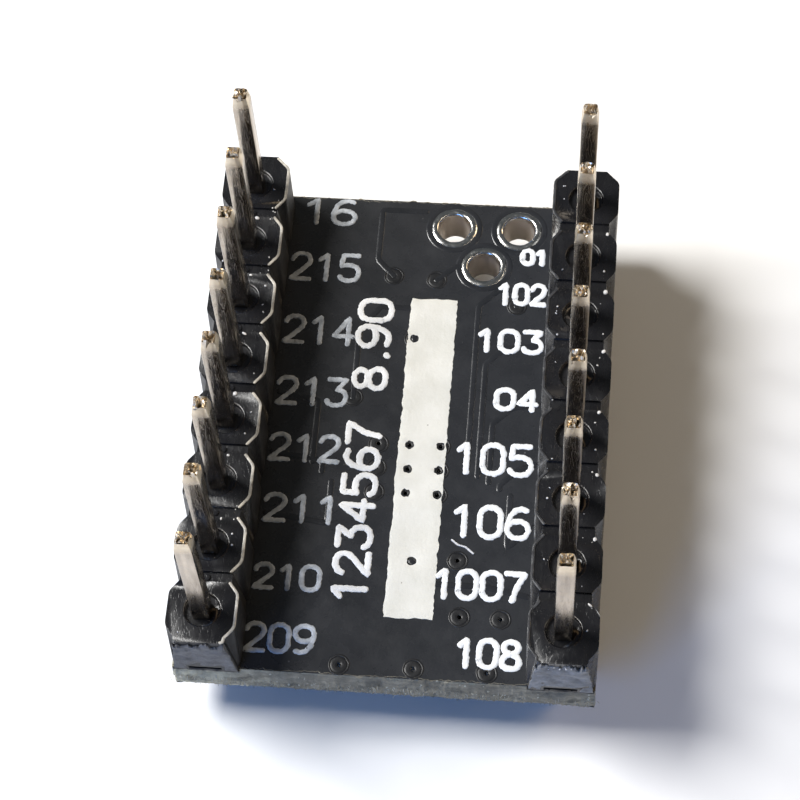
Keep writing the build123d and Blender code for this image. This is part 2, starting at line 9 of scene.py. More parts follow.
import bmesh
import bpy
import numpy as np
from mathutils import Matrix, Vector, noise
from mathutils.geometry import delaunay_2d_cdt


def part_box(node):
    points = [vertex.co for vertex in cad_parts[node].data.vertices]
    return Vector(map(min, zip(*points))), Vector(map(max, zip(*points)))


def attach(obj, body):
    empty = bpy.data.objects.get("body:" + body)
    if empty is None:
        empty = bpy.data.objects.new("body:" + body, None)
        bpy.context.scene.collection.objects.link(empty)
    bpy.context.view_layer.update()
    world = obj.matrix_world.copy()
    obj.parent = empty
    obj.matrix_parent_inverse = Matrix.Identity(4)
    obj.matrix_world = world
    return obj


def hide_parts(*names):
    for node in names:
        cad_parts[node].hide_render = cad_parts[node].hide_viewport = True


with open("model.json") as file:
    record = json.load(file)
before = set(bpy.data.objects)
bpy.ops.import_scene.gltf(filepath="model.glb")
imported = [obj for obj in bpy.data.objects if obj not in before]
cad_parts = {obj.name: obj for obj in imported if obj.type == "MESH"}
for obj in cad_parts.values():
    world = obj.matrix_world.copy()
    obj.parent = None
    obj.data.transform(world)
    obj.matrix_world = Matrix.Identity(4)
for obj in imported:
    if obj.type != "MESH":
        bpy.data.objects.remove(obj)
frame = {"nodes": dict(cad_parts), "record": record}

LOG = logging.getLogger("stepper_driver_module")
MM = 0.001
MICROMETRE = 0.000001
JOIN_DISTANCE = 0.0005
SHARP_EDGE = math.radians(28.0)
CORNER_SEGMENTS = 3
BOARD_BODY = "board_assembly"
ROTOR_BODY = "trimmer_rotor_assembly"

Colour = tuple[float, float, float]
Flat = tuple[float, float]
Stroke = list[Flat]
Socket = bpy.types.NodeSocket
Value = Union[Socket, float, int, bool, tuple, str, bpy.types.Material]


# ---- node trees ----
class Nodes:
    """A node tree with short ways to add its nodes and join them."""

    def __init__(self, tree: bpy.types.NodeTree) -> None:
        """Keep the tree and empty it.

        Args:
            tree: a shader or geometry node tree.
        """
        self.tree = tree
        tree.nodes.clear()

    def add(self, kind: str, inputs: Optional[dict] = None, **settings: object) -> bpy.types.Node:
        """Add one node.

        Args:
            kind: the node's type name.
            inputs: values or sockets by input name or number.
            settings: properties of the node itself.

        Returns:
            The node.
        """
        node = self.tree.nodes.new(kind)
        for name, value in settings.items():
            setattr(node, name, value)
        for key, value in (inputs or {}).items():
            self.feed(node.inputs[key], value)
        return node

    def feed(self, socket: Socket, value: Value) -> None:
        """Join a socket to another one, or set its own value.

        Args:
            socket: the input.
            value: an output socket, or a plain value.
        """
        if isinstance(value, bpy.types.NodeSocket):
            self.tree.links.new(value, socket)
        elif hasattr(value, "__len__") and not isinstance(value, str):
            wanted = len(socket.default_value)
            socket.default_value = (*value, 1.0)[:wanted]
        else:
            socket.default_value = value

    def math(self, operation: str, first: Value, second: Value = 0.0, clamp: bool = False) -> Socket:
        """Add a Math node and return its result."""
        node = self.add("ShaderNodeMath", {0: first, 1: second}, operation=operation, use_clamp=clamp)
        return node.outputs[0]

    def vector(self, operation: str, first: Value, second: Value = (0.0, 0.0, 0.0)) -> Socket:
        """Add a Vector Math node and return its vector."""
        return self.add("ShaderNodeVectorMath", {0: first, 1: second}, operation=operation).outputs[0]

    def part(self, vector: Value, axis: int) -> Socket:
        """Add a Separate XYZ node and return one of the vector's three parts."""
        return self.add("ShaderNodeSeparateXYZ", {0: vector}).outputs[axis]

    def remap(self, value: Value, low: float, high: float, to_low: float, to_high: float) -> Socket:
        """Carry a value from one range to another, held at its ends.

        Args:
            value: what is remapped.
            low: start of the first range.
            high: end of the first range.
            to_low: start of the second range.
            to_high: end of the second range.

        Returns:
            The remapped value.
        """
        node = self.add("ShaderNodeMapRange", {0: value, 1: low, 2: high, 3: to_low, 4: to_high})
        return node.outputs[0]

    def blend(self, share: Value, first: Value, second: Value) -> Socket:
        """Mix two colours.

        Args:
            share: 0 for the first, 1 for the second.
            first: a colour or colour socket.
            second: a colour or colour socket.

        Returns:
            The mixed colour.
        """
        node = self.add("ShaderNodeMix", {0: share, 6: first, 7: second}, data_type="RGBA", clamp_factor=True)
        return node.outputs[2]


class Group(Nodes):
    """A node group while it is made. It has one output."""

    def __init__(self, kind: str, name: str, inputs: dict[str, str], output: tuple[str, str]) -> None:
        """Start the group with its named sockets.

        Args:
            kind: ShaderNodeTree or GeometryNodeTree.
            name: the group's name.
            inputs: socket type endings by name.
            output: name and socket type ending of the output.
        """
        tree = bpy.data.node_groups.new(name, kind)
        sockets = [(*pair, "INPUT") for pair in inputs.items()] + [(*output, "OUTPUT")]
        for label, ending, way in sockets:
            tree.interface.new_socket(name=label, in_out=way, socket_type="NodeSocket" + ending)
        super().__init__(tree)
        self.start = self.add("NodeGroupInput")
        self.end = self.add("NodeGroupOutput")

    def __getitem__(self, label: str) -> Socket:
        """One of the group's inputs, by name."""
        return self.start.outputs[label]

    def close(self, result: Socket) -> bpy.types.NodeTree:
        """Join the result to the group's output, and return the tree."""
        self.feed(self.end.inputs[0], result)
        return self.tree


# ---- shared surface effects ----
class Effect(Enum):
    """Surface effects that several finishes share: group name, third input and output of each."""

    TONE = ("surface_tone", "Contrast", "Value")
    GRAIN = ("surface_grain", "Cells", "Height")
    SPECKS = ("dust_specks", "Size", "Mask")
    SCRATCHES = ("hairline_scratches", "Width", "Mask")


class Effects:
    """Builds each shared effect once, and places it in materials."""

    _made: dict[Effect, bpy.types.NodeTree] = {}

    @classmethod
    def place(cls, nodes: Nodes, effect: Effect, place: Socket, scale: float, amount: float) -> Socket:
        """Place an effect in a material.

        Args:
            nodes: the material's tree.
            effect: which effect.
            place: its coordinates.
            scale: its scale, per metre.
            amount: value of its third input.

        Returns:
            The effect's output.
        """
        name, third, output = effect.value
        if effect not in cls._made:
            sockets = {"Vector": "Vector", "Scale": "Float", third: "Float"}
            group = Group("ShaderNodeTree", name, sockets, (output, "Float"))
            cls._made[effect] = group.close(getattr(cls, "_" + effect.name.lower())(group))
        node = nodes.add("ShaderNodeGroup", {"Vector": place, "Scale": scale, third: amount},
                         node_tree=cls._made[effect])
        return node.outputs[0]

    @staticmethod
    def _texture(nodes: Group, kind: str, **inputs: float) -> bpy.types.Node:
        """A texture node with the group's own coordinates and scale."""
        return nodes.add("ShaderNodeTex" + kind, {
            "Vector": nodes["Vector"], "Scale": nodes["Scale"], **inputs})

    @classmethod
    def _tone(cls, nodes: Group) -> Socket:
        """Slow, cloudy change over a surface, 0 to 1."""
        cloud = cls._texture(nodes, "Noise", Detail=5.0, Roughness=0.6)
        centred = nodes.math("SUBTRACT", cloud.outputs[0], 0.5)
        return nodes.math("ADD", nodes.math("MULTIPLY", centred, nodes["Contrast"]), 0.5, clamp=True)

    @classmethod
    def _grain(cls, nodes: Group) -> Socket:
        """Fine height of a surface: cells and noise together."""
        fine = cls._texture(nodes, "Noise", Detail=4.0, Roughness=0.55)
        pits = cls._texture(nodes, "Voronoi")
        weighted = nodes.math("MULTIPLY", pits.outputs["Distance"], nodes["Cells"])
        return nodes.math("ADD", fine.outputs[0], weighted)

    @classmethod
    def _specks(cls, nodes: Group) -> Socket:
        """Sparse small spots, as a mask."""
        cells = cls._texture(nodes, "Voronoi")
        picked = nodes.add("ShaderNodeSeparateColor", {0: cells.outputs["Color"]})
        chosen = nodes.math("GREATER_THAN", picked.outputs[0], 0.72)
        near = nodes.math("LESS_THAN", cells.outputs["Distance"], nodes["Size"])
        return nodes.math("MULTIPLY", chosen, near)

    @classmethod
    def _scratches(cls, nodes: Group) -> Socket:
        """Thin lines along the stretched direction of the coordinates, as a mask."""
        lines = cls._texture(nodes, "Noise", Detail=2.0, Roughness=0.5)
        off = nodes.math("ABSOLUTE", nodes.math("SUBTRACT", lines.outputs[0], 0.5))
        return nodes.math("SUBTRACT", 1.0, nodes.math("DIVIDE", off, nodes["Width"]), clamp=True)


# ---- finishes ----
@dataclass(frozen=True)
class Finish:
    """One surface finish. Scales are per metre and the grain's height is in micrometres."""

    name: str
    slot: str
    dark: Colour
    light: Colour
    roughness: Flat = (0.4, 0.55)
    metallic: float = 0.0
    ior: float = 1.5
    tone_scale: float = 900.0
    contrast: float = 1.6
    grain_scale: float = 9000.0
    grain_height: float = 4.0
    cells: float = 0.0
    stretch: Colour = (1.0, 1.0, 1.0)
    speck_scale: float = 0.0
    speck_size: float = 0.16
    speck_colour: Colour = (0.6, 0.6, 0.58)
    scratch: float = 0.0

    def colour(self, nodes: Nodes, place: Socket, tone: Socket) -> Socket:
        """The base colour over the surface.

        Args:
            nodes: the material's tree.
            place: coordinates.
            tone: slow change, 0 to 1.

        Returns:
            A colour socket.
        """
        return nodes.blend(tone, self.dark, self.light)

    def height(self, nodes: Nodes, place: Socket, grain: Socket) -> Socket:
        """The height over the surface, in units of grain_height."""
        return grain

    def rough(self, nodes: Nodes, place: Socket, value: Socket) -> Socket:
        """The roughness over the surface."""
        return value

    def surface(self, nodes: Nodes, shader: Socket) -> Socket:
        """The shader that reaches the output."""
        return shader

    def material(self) -> bpy.types.Material:
        """The finish as a material, made on first use."""
        found = bpy.data.materials.get(self.name)
        if found:
            return found
        made = bpy.data.materials.new(self.name)
        made.use_nodes = True
        nodes = Nodes(made.node_tree)
        place = nodes.add("ShaderNodeTexCoord").outputs["Object"]
        drawn = nodes.vector("MULTIPLY", place, self.stretch)
        tone = Effects.place(nodes, Effect.TONE, drawn, self.tone_scale, self.contrast)
        wear = Effects.place(nodes, Effect.TONE, drawn, self.tone_scale * 2.7, 2.2)
        colour = self.colour(nodes, place, tone)
        rough = self.rough(nodes, place, nodes.remap(wear, 0.0, 1.0, *self.roughness))
        grain = Effects.place(nodes, Effect.GRAIN, drawn, self.grain_scale, self.cells)
        if self.speck_scale:
            specks = Effects.place(nodes, Effect.SPECKS, place, self.speck_scale, self.speck_size)
            colour = nodes.blend(specks, colour, self.speck_colour)
            grain = nodes.math("ADD", grain, specks)
        if self.scratch:
            lines = Effects.place(nodes, Effect.SCRATCHES, drawn, self.tone_scale * 4, 0.02)
            grain = nodes.math("SUBTRACT", grain, nodes.math("MULTIPLY", lines, self.scratch))
        bump = nodes.add("ShaderNodeBump", {
            "Strength": 0.9, "Distance": self.grain_height * MICROMETRE,
            "Height": self.height(nodes, place, grain)})
        shader = nodes.add("ShaderNodeBsdfPrincipled", {
            "Base Color": colour, "Roughness": rough, "Metallic": self.metallic,
            "IOR": self.ior, "Normal": bump.outputs[0]})
        nodes.add("ShaderNodeOutputMaterial", {"Surface": self.surface(nodes, shader.outputs[0])})
        return made


@dataclass(frozen=True)
class BoardFinish(Finish):
    """Solder mask on the two faces of the board, bare laminate between them."""

    laminate_dark: Colour = (0.10, 0.11, 0.09)
    laminate_light: Colour = (0.30, 0.31, 0.25)
    mask_depth: float = 0.00003
    low: float = 0.0
    high: float = 0.0

    def colour(self, nodes: Nodes, place: Socket, tone: Socket) -> Socket:
        """Mask colour at the faces, and laminate between them."""
        mask = nodes.blend(tone, self.dark, self.light)
        laminate = nodes.blend(tone, self.laminate_dark, self.laminate_light)
        return nodes.blend(self._between(nodes, place), mask, laminate)

    def rough(self, nodes: Nodes, place: Socket, value: Socket) -> Socket:
        """The laminate is matt."""
        return nodes.math("ADD", value, nodes.math("MULTIPLY", self._between(nodes, place), 0.4))

    def height(self, nodes: Nodes, place: Socket, grain: Socket) -> Socket:
        """The woven glass cloth shows faintly through the mask."""
        turned = nodes.vector("MULTIPLY", place, (math.pi / 0.00045, math.pi / 0.0005, 0.0))
        across, along = (nodes.math("SINE", nodes.part(turned, axis)) for axis in (0, 1))
        weave = nodes.math("MULTIPLY", nodes.math("MULTIPLY", across, along), 0.35)
        return nodes.math("ADD", grain, weave)

    def _between(self, nodes: Nodes, place: Socket) -> Socket:
        """1 between the two mask layers, 0 in them."""
        level = nodes.part(place, 2)
        above = nodes.math("GREATER_THAN", level, self.low + self.mask_depth)
        below = nodes.math("LESS_THAN", level, self.high - self.mask_depth)
        return nodes.math("MULTIPLY", above, below)


@dataclass(frozen=True)
class LaminateFinish(Finish):
    """The broken edge of glass-fibre laminate: thin plies, dusty and slightly green."""

    ply: float = 0.00018
    warm: Colour = (0.74, 0.70, 0.52)

    def colour(self, nodes: Nodes, place: Socket, tone: Socket) -> Socket:
        """Plies of glass and resin, with a warmer cast towards the left end."""
        plain = nodes.blend(tone, self.dark, self.light)
        plies = nodes.math("SINE", nodes.math("MULTIPLY", nodes.part(place, 2), math.tau / self.ply))
        layered = nodes.blend(nodes.remap(plies, 0.2, 1.0, 0.0, 0.35), plain, self.dark)
        left = nodes.remap(nodes.part(place, 0), -0.0035, -0.0070, 0.0, 0.9)
        return nodes.blend(nodes.math("MULTIPLY", left, tone), layered, self.warm)


@dataclass(frozen=True)
class TableFinish(Finish):
    """A pale table top that shows from above only, so views from below reach what lies on it."""

    def surface(self, nodes: Nodes, shader: Socket) -> Socket:
        """Clear from below."""
        clear = nodes.add("ShaderNodeBsdfTransparent")
        below = nodes.add("ShaderNodeNewGeometry").outputs["Backfacing"]
        return nodes.add("ShaderNodeMixShader", {0: below, 1: shader, 2: clear.outputs[0]}).outputs[0]


@dataclass(frozen=True)
class MouldingFinish(Finish):
    """Glass-filled moulding: smooth on its top and duller down its drawn sides."""

    side_roughness: float = 0.26

    def rough(self, nodes: Nodes, place: Socket, value: Socket) -> Socket:
        """The upright sides are duller."""
        facing = nodes.add("ShaderNodeNewGeometry").outputs["Normal"]
        level = nodes.math("ABSOLUTE", nodes.part(facing, 2))
        return nodes.math("ADD", value, nodes.remap(level, 0.1, 0.5, self.side_roughness, 0.0))


@dataclass(frozen=True)
class PinFinish(Finish):
    """Tin-plated square wire, with bare metal where the tip was cut."""

    cut_level: float = 0.0
    tip_start: float = 0.0
    bare: Colour = (0.98, 0.93, 0.83)
    stain: Colour = (0.50, 0.40, 0.29)
    tip: Colour = (0.84, 0.73, 0.56)

    def colour(self, nodes: Nodes, place: Socket, tone: Socket) -> Socket:
        """Champagne plating with darker stains, and cream to brown at the cut."""
        plated = nodes.blend(tone, self.dark, self.light)
        spots = Effects.place(nodes, Effect.TONE, place, 3800.0, 6.0)
        level = nodes.part(place, 2)
        on_tip = nodes.remap(level, self.tip_start - 0.0001, self.tip_start + 0.0003, 0.0, 0.8)
        plated = nodes.blend(on_tip, plated, self.tip)
        spotted = nodes.blend(nodes.math("MULTIPLY", spots, 0.25), plated, self.stain)
        cut = nodes.blend(nodes.math("MULTIPLY", spots, 0.55), self.bare, self.stain)
        at_cut = nodes.remap(level, self.cut_level - 0.00022, self.cut_level - 0.00008, 0.0, 0.8)
        return nodes.blend(at_cut, spotted, cut)

    def rough(self, nodes: Nodes, place: Socket, value: Socket) -> Socket:
        """The pressed tip is duller than the drawn wire."""
        level = nodes.part(place, 2)
        pressed = nodes.remap(level, self.tip_start - 0.0001, self.tip_start + 0.0002, 0.0, 0.16)
        cut = nodes.remap(level, self.cut_level - 0.00022, self.cut_level - 0.00008, 0.0, 0.16)
        return nodes.math("ADD", value, nodes.math("ADD", pressed, cut))


@dataclass(frozen=True)
class BarrelFinish(Finish):
    """Tinned ring with a duller, warmer wall down the hole."""

    low: float = 0.0
    high: float = 0.0
    wall: Colour = (0.72, 0.66, 0.60)

    def colour(self, nodes: Nodes, place: Socket, tone: Socket) -> Socket:
        """Bright on the two rings, warmer between them."""
        ring = nodes.blend(tone, self.dark, self.light)
        level = nodes.part(place, 2)
        above = nodes.remap(level, self.low, self.low + 0.0002, 0.0, 1.0)
        below = nodes.remap(level, self.high - 0.0002, self.high, 1.0, 0.0)
        return nodes.blend(nodes.math("MULTIPLY", above, below), ring, self.wall)

    def rough(self, nodes: Nodes, place: Socket, value: Socket) -> Socket:
        """The drilled wall is duller than the rings."""
        level = nodes.part(place, 2)
        return nodes.math("ADD", value, nodes.remap(level, self.high - 0.0003, self.high, 0.3, 0.0))


@dataclass(frozen=True)
class BrushedFinish(Finish):
    """Metal brushed round its own middle."""

    centre: Flat = (0.0, 0.0)
    ring_spacing: float = 0.00006

    def height(self, nodes: Nodes, place: Socket, grain: Socket) -> Socket:
        """Fine turned rings about the centre, over the grain."""
        moved = nodes.vector("SUBTRACT", place, (*self.centre, 0.0))
        flat = nodes.vector("MULTIPLY", moved, (1.0, 1.0, 0.0))
        radius = nodes.add("ShaderNodeVectorMath", {0: flat}, operation="LENGTH").outputs[1]
        rings = nodes.math("SINE", nodes.math("MULTIPLY", radius, math.tau / self.ring_spacing))
        return nodes.math("ADD", grain, nodes.math("MULTIPLY", rings, 0.3))


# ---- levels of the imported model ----
@dataclass(frozen=True)
class Levels:
    """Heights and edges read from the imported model, in millimetres."""

    pin_face: float
    component_face: float
    header_top: float
    header_foot: float
    contact_end: float
    half_width: float
    half_length: float
    row_x: float
    pin_y: tuple[float, ...]

    @classmethod
    def read(cls) -> "Levels":
        """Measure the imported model's nodes."""
        low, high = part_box("circuit_board")
        head_low, head_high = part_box("right_header_body")
        pins = [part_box("right_header_pin_{}".format(place)) for place in range(1, 9)]
        middles = [(first + last) / 2 / MM for first, last in pins]
        return cls(
            pin_face=high.z / MM, component_face=low.z / MM,
            header_top=head_high.z / MM, header_foot=head_low.z / MM,
            contact_end=pins[0][1].z / MM, half_width=high.x / MM, half_length=high.y / MM,
            row_x=middles[0].x, pin_y=tuple(middle.y for middle in middles))


LEVELS = Levels.read()


def node_middle(node: str) -> Vector:
    """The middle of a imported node's box, in millimetres."""
    low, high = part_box(node)
    return (low + high) / 2 / MM


# ---- every finish of the module ----
MASK = BoardFinish(
    "black_solder_mask", "laminate", (0.018, 0.019, 0.021), (0.033, 0.034, 0.037), (0.22, 0.34),
    grain_scale=5200.0, grain_height=6.0, tone_scale=500.0, speck_scale=1500.0, speck_size=0.05,
    speck_colour=(0.10, 0.10, 0.10), low=LEVELS.component_face * MM, high=LEVELS.pin_face * MM)
RAISED_MASK = Finish(
    "mask_over_copper", "laminate", (0.014, 0.015, 0.017), (0.028, 0.029, 0.032), (0.18, 0.30),
    grain_scale=5200.0, grain_height=5.0)
LAMINATE = LaminateFinish(
    "broken_laminate_edge", "laminate", (0.125, 0.115, 0.09), (0.35, 0.32, 0.245), (0.72, 0.95),
    tone_scale=1500.0, contrast=2.6, grain_scale=16000.0, grain_height=30.0, cells=0.5,
    stretch=(0.6, 0.6, 1.6), speck_scale=5000.0, speck_size=0.22, speck_colour=(0.46, 0.45, 0.37))
FIBRE = Finish(
    "glass_fibre_ends", "laminate", (0.30, 0.30, 0.26), (0.55, 0.54, 0.48), (0.5, 0.7))
INK = Finish(
    "white_legend_ink", "laminate", (0.74, 0.74, 0.73), (0.90, 0.90, 0.89), (0.5, 0.68),
    tone_scale=1300.0, contrast=2.4, grain_scale=11000.0, grain_height=12.0, cells=0.3,
    speck_scale=3200.0, speck_size=0.07, speck_colour=(0.34, 0.34, 0.34))
# Darker than the mask at the via tents; the same dark finish also paints shade on a sheet under the header
# ends.
TENT_AND_SHADE = Finish(
    "via_tent_and_painted_shade", "laminate", (0.006, 0.006, 0.007), (0.012, 0.012, 0.013), (0.34, 0.48), grain_height=5.0)
# Ink of the left row's numbers: worn, and painted darker and cooler as the shade of the left header.
WORN_INK_WITH_SHADE = Finish(
    "worn_legend_ink_painted_shade", "laminate", (0.30, 0.325, 0.355), (0.62, 0.655, 0.70), (0.45, 0.62),
    tone_scale=2600.0, contrast=3.0, grain_scale=11000.0, grain_height=14.0, cells=0.4,
    speck_scale=3600.0, speck_size=0.12, speck_colour=(0.12, 0.12, 0.13))
BLOCK_INK = Finish(
    "cream_writing_block", "laminate", (0.70, 0.68, 0.60), (0.80, 0.78, 0.71), (0.5, 0.66),
    tone_scale=900.0, contrast=2.2, grain_scale=7000.0, grain_height=12.0, cells=0.25,
    speck_scale=2100.0, speck_size=0.06, speck_colour=(0.44, 0.41, 0.35))
MOULDING = MouldingFinish(
    "black_header_moulding", "header_moulding", (0.006, 0.006, 0.007), (0.012, 0.012, 0.014), (0.20, 0.34),
    tone_scale=1100.0, grain_scale=5200.0, grain_height=6.0, cells=0.25, speck_scale=2600.0,
    speck_size=0.055, speck_colour=(0.34, 0.34, 0.35), scratch=0.25, stretch=(1.0, 0.45, 1.0))
SMOOTH_MOULDING = replace(MOULDING, name="smooth_header_moulding", side_roughness=0.0)
# Pale colour of the left header's inner top edge: a painted highlight.
HIGHLIGHT_LIP = Finish(
    "lip_painted_highlight", "header_moulding", (0.22, 0.205, 0.18), (0.60, 0.56, 0.48), (0.28, 0.45), ior=1.6,
    tone_scale=3200.0, contrast=3.0, grain_scale=15000.0, grain_height=10.0)
DARK_LIP = Finish(
    "dark_moulding_lip", "header_moulding", (0.012, 0.012, 0.014), (0.05, 0.051, 0.055),
    (0.28, 0.45), ior=1.6,
    tone_scale=3200.0, contrast=3.0, grain_scale=15000.0, grain_height=10.0)
BROKEN_MOULDING = Finish(
    "snapped_moulding_end", "header_moulding", (0.055, 0.055, 0.058), (0.15, 0.15, 0.155), (0.55, 0.8),
    tone_scale=2600.0, contrast=2.4, grain_scale=15000.0, grain_height=20.0, cells=0.5)
# A lighter copy for the right row's snapped end, which the key light misses: painted light.
BRIGHTENED_BREAK = replace(
    BROKEN_MOULDING, name="moulding_end_painted_light", dark=(0.10, 0.103, 0.108), light=(0.26, 0.265, 0.275))
# Pale lumps: the real lint fibre and pale flecks, and painted highlights on the headers' gate marks and top
# edges.
PALE_FLECK_AND_HIGHLIGHT = Finish(
    "pale_flecks_and_painted_highlights", "header_moulding", (0.45, 0.45, 0.46), (0.80, 0.79, 0.78), (0.4, 0.65),
    tone_scale=9000.0, contrast=3.0, grain_scale=22000.0, grain_height=10.0)
PIN = PinFinish(
    "tin_plated_pin", "plated_pin", (0.21, 0.18, 0.155), (0.68, 0.60, 0.50), (0.13, 0.25), metallic=1.0,
    tone_scale=2600.0, contrast=2.0, grain_scale=12000.0, grain_height=3.0,
    stretch=(1.0, 1.0, 0.12), scratch=0.6, cut_level=LEVELS.contact_end * MM,
    tip_start=(LEVELS.contact_end - 0.72) * MM)
TIN = Finish(
    "tinned_land", "tinned_copper", (0.62, 0.61, 0.58), (0.83, 0.82, 0.79), (0.22, 0.42), metallic=1.0,
    tone_scale=2100.0, grain_scale=9000.0, grain_height=6.0)
BARREL = BarrelFinish(
    "tinned_hole", "tinned_copper", (0.46, 0.455, 0.44), (0.76, 0.75, 0.72), (0.14, 0.30), metallic=1.0,
    tone_scale=2600.0, grain_scale=8000.0, grain_height=8.0,
    low=LEVELS.component_face * MM, high=LEVELS.pin_face * MM)
SOLDER = Finish(
    "bright_solder", "solder", (0.55, 0.55, 0.55), (0.78, 0.78, 0.77), (0.14, 0.32), metallic=1.0,
    tone_scale=1900.0, contrast=2.2, grain_scale=5200.0, grain_height=10.0)
CHIP = Finish(
    "chip_moulding_compound", "chip_moulding", (0.018, 0.018, 0.020), (0.034, 0.034, 0.037), (0.5, 0.66),
    tone_scale=800.0, grain_scale=21000.0, grain_height=9.0, cells=0.6, speck_scale=9000.0,
    speck_size=0.13, speck_colour=(0.07, 0.07, 0.072))
CHIP_MARK = Finish(
    "etched_chip_mark", "chip_moulding", (0.20, 0.20, 0.20), (0.33, 0.33, 0.32), (0.6, 0.8),
    grain_scale=24000.0, grain_height=6.0)
LEADFRAME = Finish(
    "plated_lead_frame", "chip_leadframe", (0.58, 0.57, 0.54), (0.78, 0.77, 0.74), (0.26, 0.46),
    metallic=1.0, tone_scale=3000.0, grain_scale=14000.0)
SILICON = Finish(
    "polished_silicon", "silicon", (0.16, 0.17, 0.21), (0.27, 0.28, 0.33), (0.10, 0.2), ior=3.4,
    tone_scale=5000.0, grain_scale=30000.0, grain_height=1.0)
GOLD = Finish(
    "bond_wire_gold", "bond_wire", (0.80, 0.56, 0.20), (0.95, 0.72, 0.32), (0.2, 0.3), metallic=1.0)
ALUMINA = Finish(
    "white_alumina", "trimmer_ceramic", (0.74, 0.72, 0.67), (0.86, 0.85, 0.81), (0.42, 0.6),
    tone_scale=1400.0, grain_scale=13000.0, grain_height=9.0, cells=0.4, speck_scale=4200.0,
    speck_size=0.09, speck_colour=(0.45, 0.43, 0.39))
TRACK = Finish(
    "fired_resistive_track", "resistive_film", (0.02, 0.018, 0.018), (0.05, 0.045, 0.04), (0.35, 0.5),
    grain_scale=18000.0, grain_height=6.0)
TERMINAL = Finish(
    "tinned_terminal", "trimmer_terminal", (0.60, 0.59, 0.55), (0.80, 0.79, 0.75), (0.24, 0.42),
    metallic=1.0, tone_scale=2500.0, grain_scale=12000.0)
ROTOR = BrushedFinish(
    "brushed_rotor", "rotor_metal", (0.60, 0.58, 0.53), (0.82, 0.80, 0.75), (0.24, 0.40), metallic=1.0,
    tone_scale=1900.0, grain_scale=15000.0, grain_height=4.0, scratch=0.5,
    centre=(node_middle("trimmer_shaft_collar").x * MM, node_middle("trimmer_shaft_collar").y * MM))
SPRING = Finish(
    "wiper_spring_strip", "wiper_spring", (0.62, 0.45, 0.24), (0.82, 0.64, 0.40), (0.24, 0.38),
    metallic=1.0, grain_scale=15000.0, stretch=(0.2, 1.0, 1.0))
END_CAP = Finish(
    "tinned_end_cap", "end_cap", (0.56, 0.56, 0.54), (0.76, 0.76, 0.74), (0.28, 0.48), metallic=1.0,
    tone_scale=3200.0, contrast=2.2, grain_scale=12000.0, grain_height=10.0, cells=0.3)
TAN_CERAMIC = Finish(
    "tan_capacitor_ceramic", "capacitor_ceramic", (0.33, 0.22, 0.14), (0.50, 0.37, 0.25), (0.38, 0.56),
    tone_scale=1700.0, contrast=1.8, grain_scale=15000.0, grain_height=7.0, cells=0.3,
    speck_scale=6000.0, speck_size=0.10, speck_colour=(0.2, 0.13, 0.08))
GLAZE = Finish(
    "black_resistor_glaze", "resistor_glaze", (0.010, 0.010, 0.012), (0.024, 0.024, 0.027), (0.14, 0.26),
    tone_scale=1500.0, grain_scale=5200.0, grain_height=8.0)
RESISTOR_CERAMIC = Finish(
    "resistor_alumina", "resistor_ceramic", (0.72, 0.71, 0.68), (0.84, 0.83, 0.80), (0.45, 0.6),
    tone_scale=2400.0, grain_scale=15000.0, grain_height=6.0)
TABLE = TableFinish(
    "pale_table", "laminate", (0.86, 0.86, 0.86), (0.90, 0.90, 0.90), (0.55, 0.7),
    tone_scale=40.0, grain_scale=2600.0, grain_height=4.0)

NODE_FINISHES = {
    "laminate": MASK, "tinned_copper": TIN, "header_moulding": MOULDING, "plated_pin": PIN,
    "solder": SOLDER, "chip_moulding": CHIP, "chip_leadframe": LEADFRAME, "silicon": SILICON,
    "bond_wire": GOLD, "trimmer_ceramic": ALUMINA, "resistive_film": TRACK,
    "trimmer_terminal": TERMINAL, "rotor_metal": ROTOR, "wiper_spring": SPRING, "end_cap": END_CAP,
    "capacitor_ceramic": TAN_CERAMIC, "resistor_glaze": GLAZE, "resistor_ceramic": RESISTOR_CERAMIC,
}


# ---- meshes ----
class Shell:
    """Vertices and faces of one piece while it is made, in millimetres."""

    def __init__(self) -> None:
        """Start empty."""
        self.points: list[tuple[float, float, float]] = []
        self.faces: list[tuple[int, ...]] = []
        self.marks: list[int] = []

    def add(self, points: Sequence, faces: Sequence, mark: int = 0) -> None:
        """Append a set of points and the faces between them.

        Args:
            points: places in millimetres.
            faces: corner numbers within these points.
            mark: material number of the faces.
        """
        start = len(self.points)
        self.points += [tuple(float(c) for c in point) for point in points]
        self.faces += [tuple(start + corner for corner in face) for face in faces]
        self.marks += [mark] * len(faces)

    def tube(self, rings: Sequence[Sequence], closed: bool = False, mark: int = 0) -> None:
        """Skin equal rings of points, and close both ends with a fan.

        Args:
            rings: lists of as many points each.
            closed: the last ring joins the first, and there are no ends.
            mark: material number of the faces.
        """
        count = len(rings[0])
        points = [point for ring in rings for point in ring]
        faces = []
        steps = len(rings) if closed else len(rings) - 1
        for step in range(steps):
            near, far = step * count, (step + 1) % len(rings) * count
            for side in range(count):
                turn = (side + 1) % count
                faces.append((near + side, near + turn, far + turn, far + side))
        if not closed:
            for ring, flip in ((rings[0], True), (rings[-1], False)):
                start = 0 if flip else (len(rings) - 1) * count
                points.append(tuple(np.mean(np.array(ring, float), axis=0)))
                hub = len(points) - 1
                for side in range(count):
                    turn = (side + 1) % count
                    edge = (start + turn, start + side) if flip else (start + side, start + turn)
                    faces.append((*edge, hub))
        self.add(points, faces, mark)

    def piece(self, name: str, finishes: Sequence[Finish], angle: float = 40.0) -> bpy.types.Object:
        """Turn the shell into an object in metres.

        Args:
            name: the piece's name.
            finishes: one finish for each material number.
            angle: edges sharper than this stay crisp, in degrees.

        Returns:
            The object, at the origin.
        """
        mesh = bpy.data.meshes.new(name)
        mesh.from_pydata([tuple(c * MM for c in point) for point in self.points], [], self.faces)
        mesh.polygons.foreach_set("material_index", self.marks)
        mesh.validate()
        return dress(bpy.data.objects.new(name, mesh), finishes, angle)


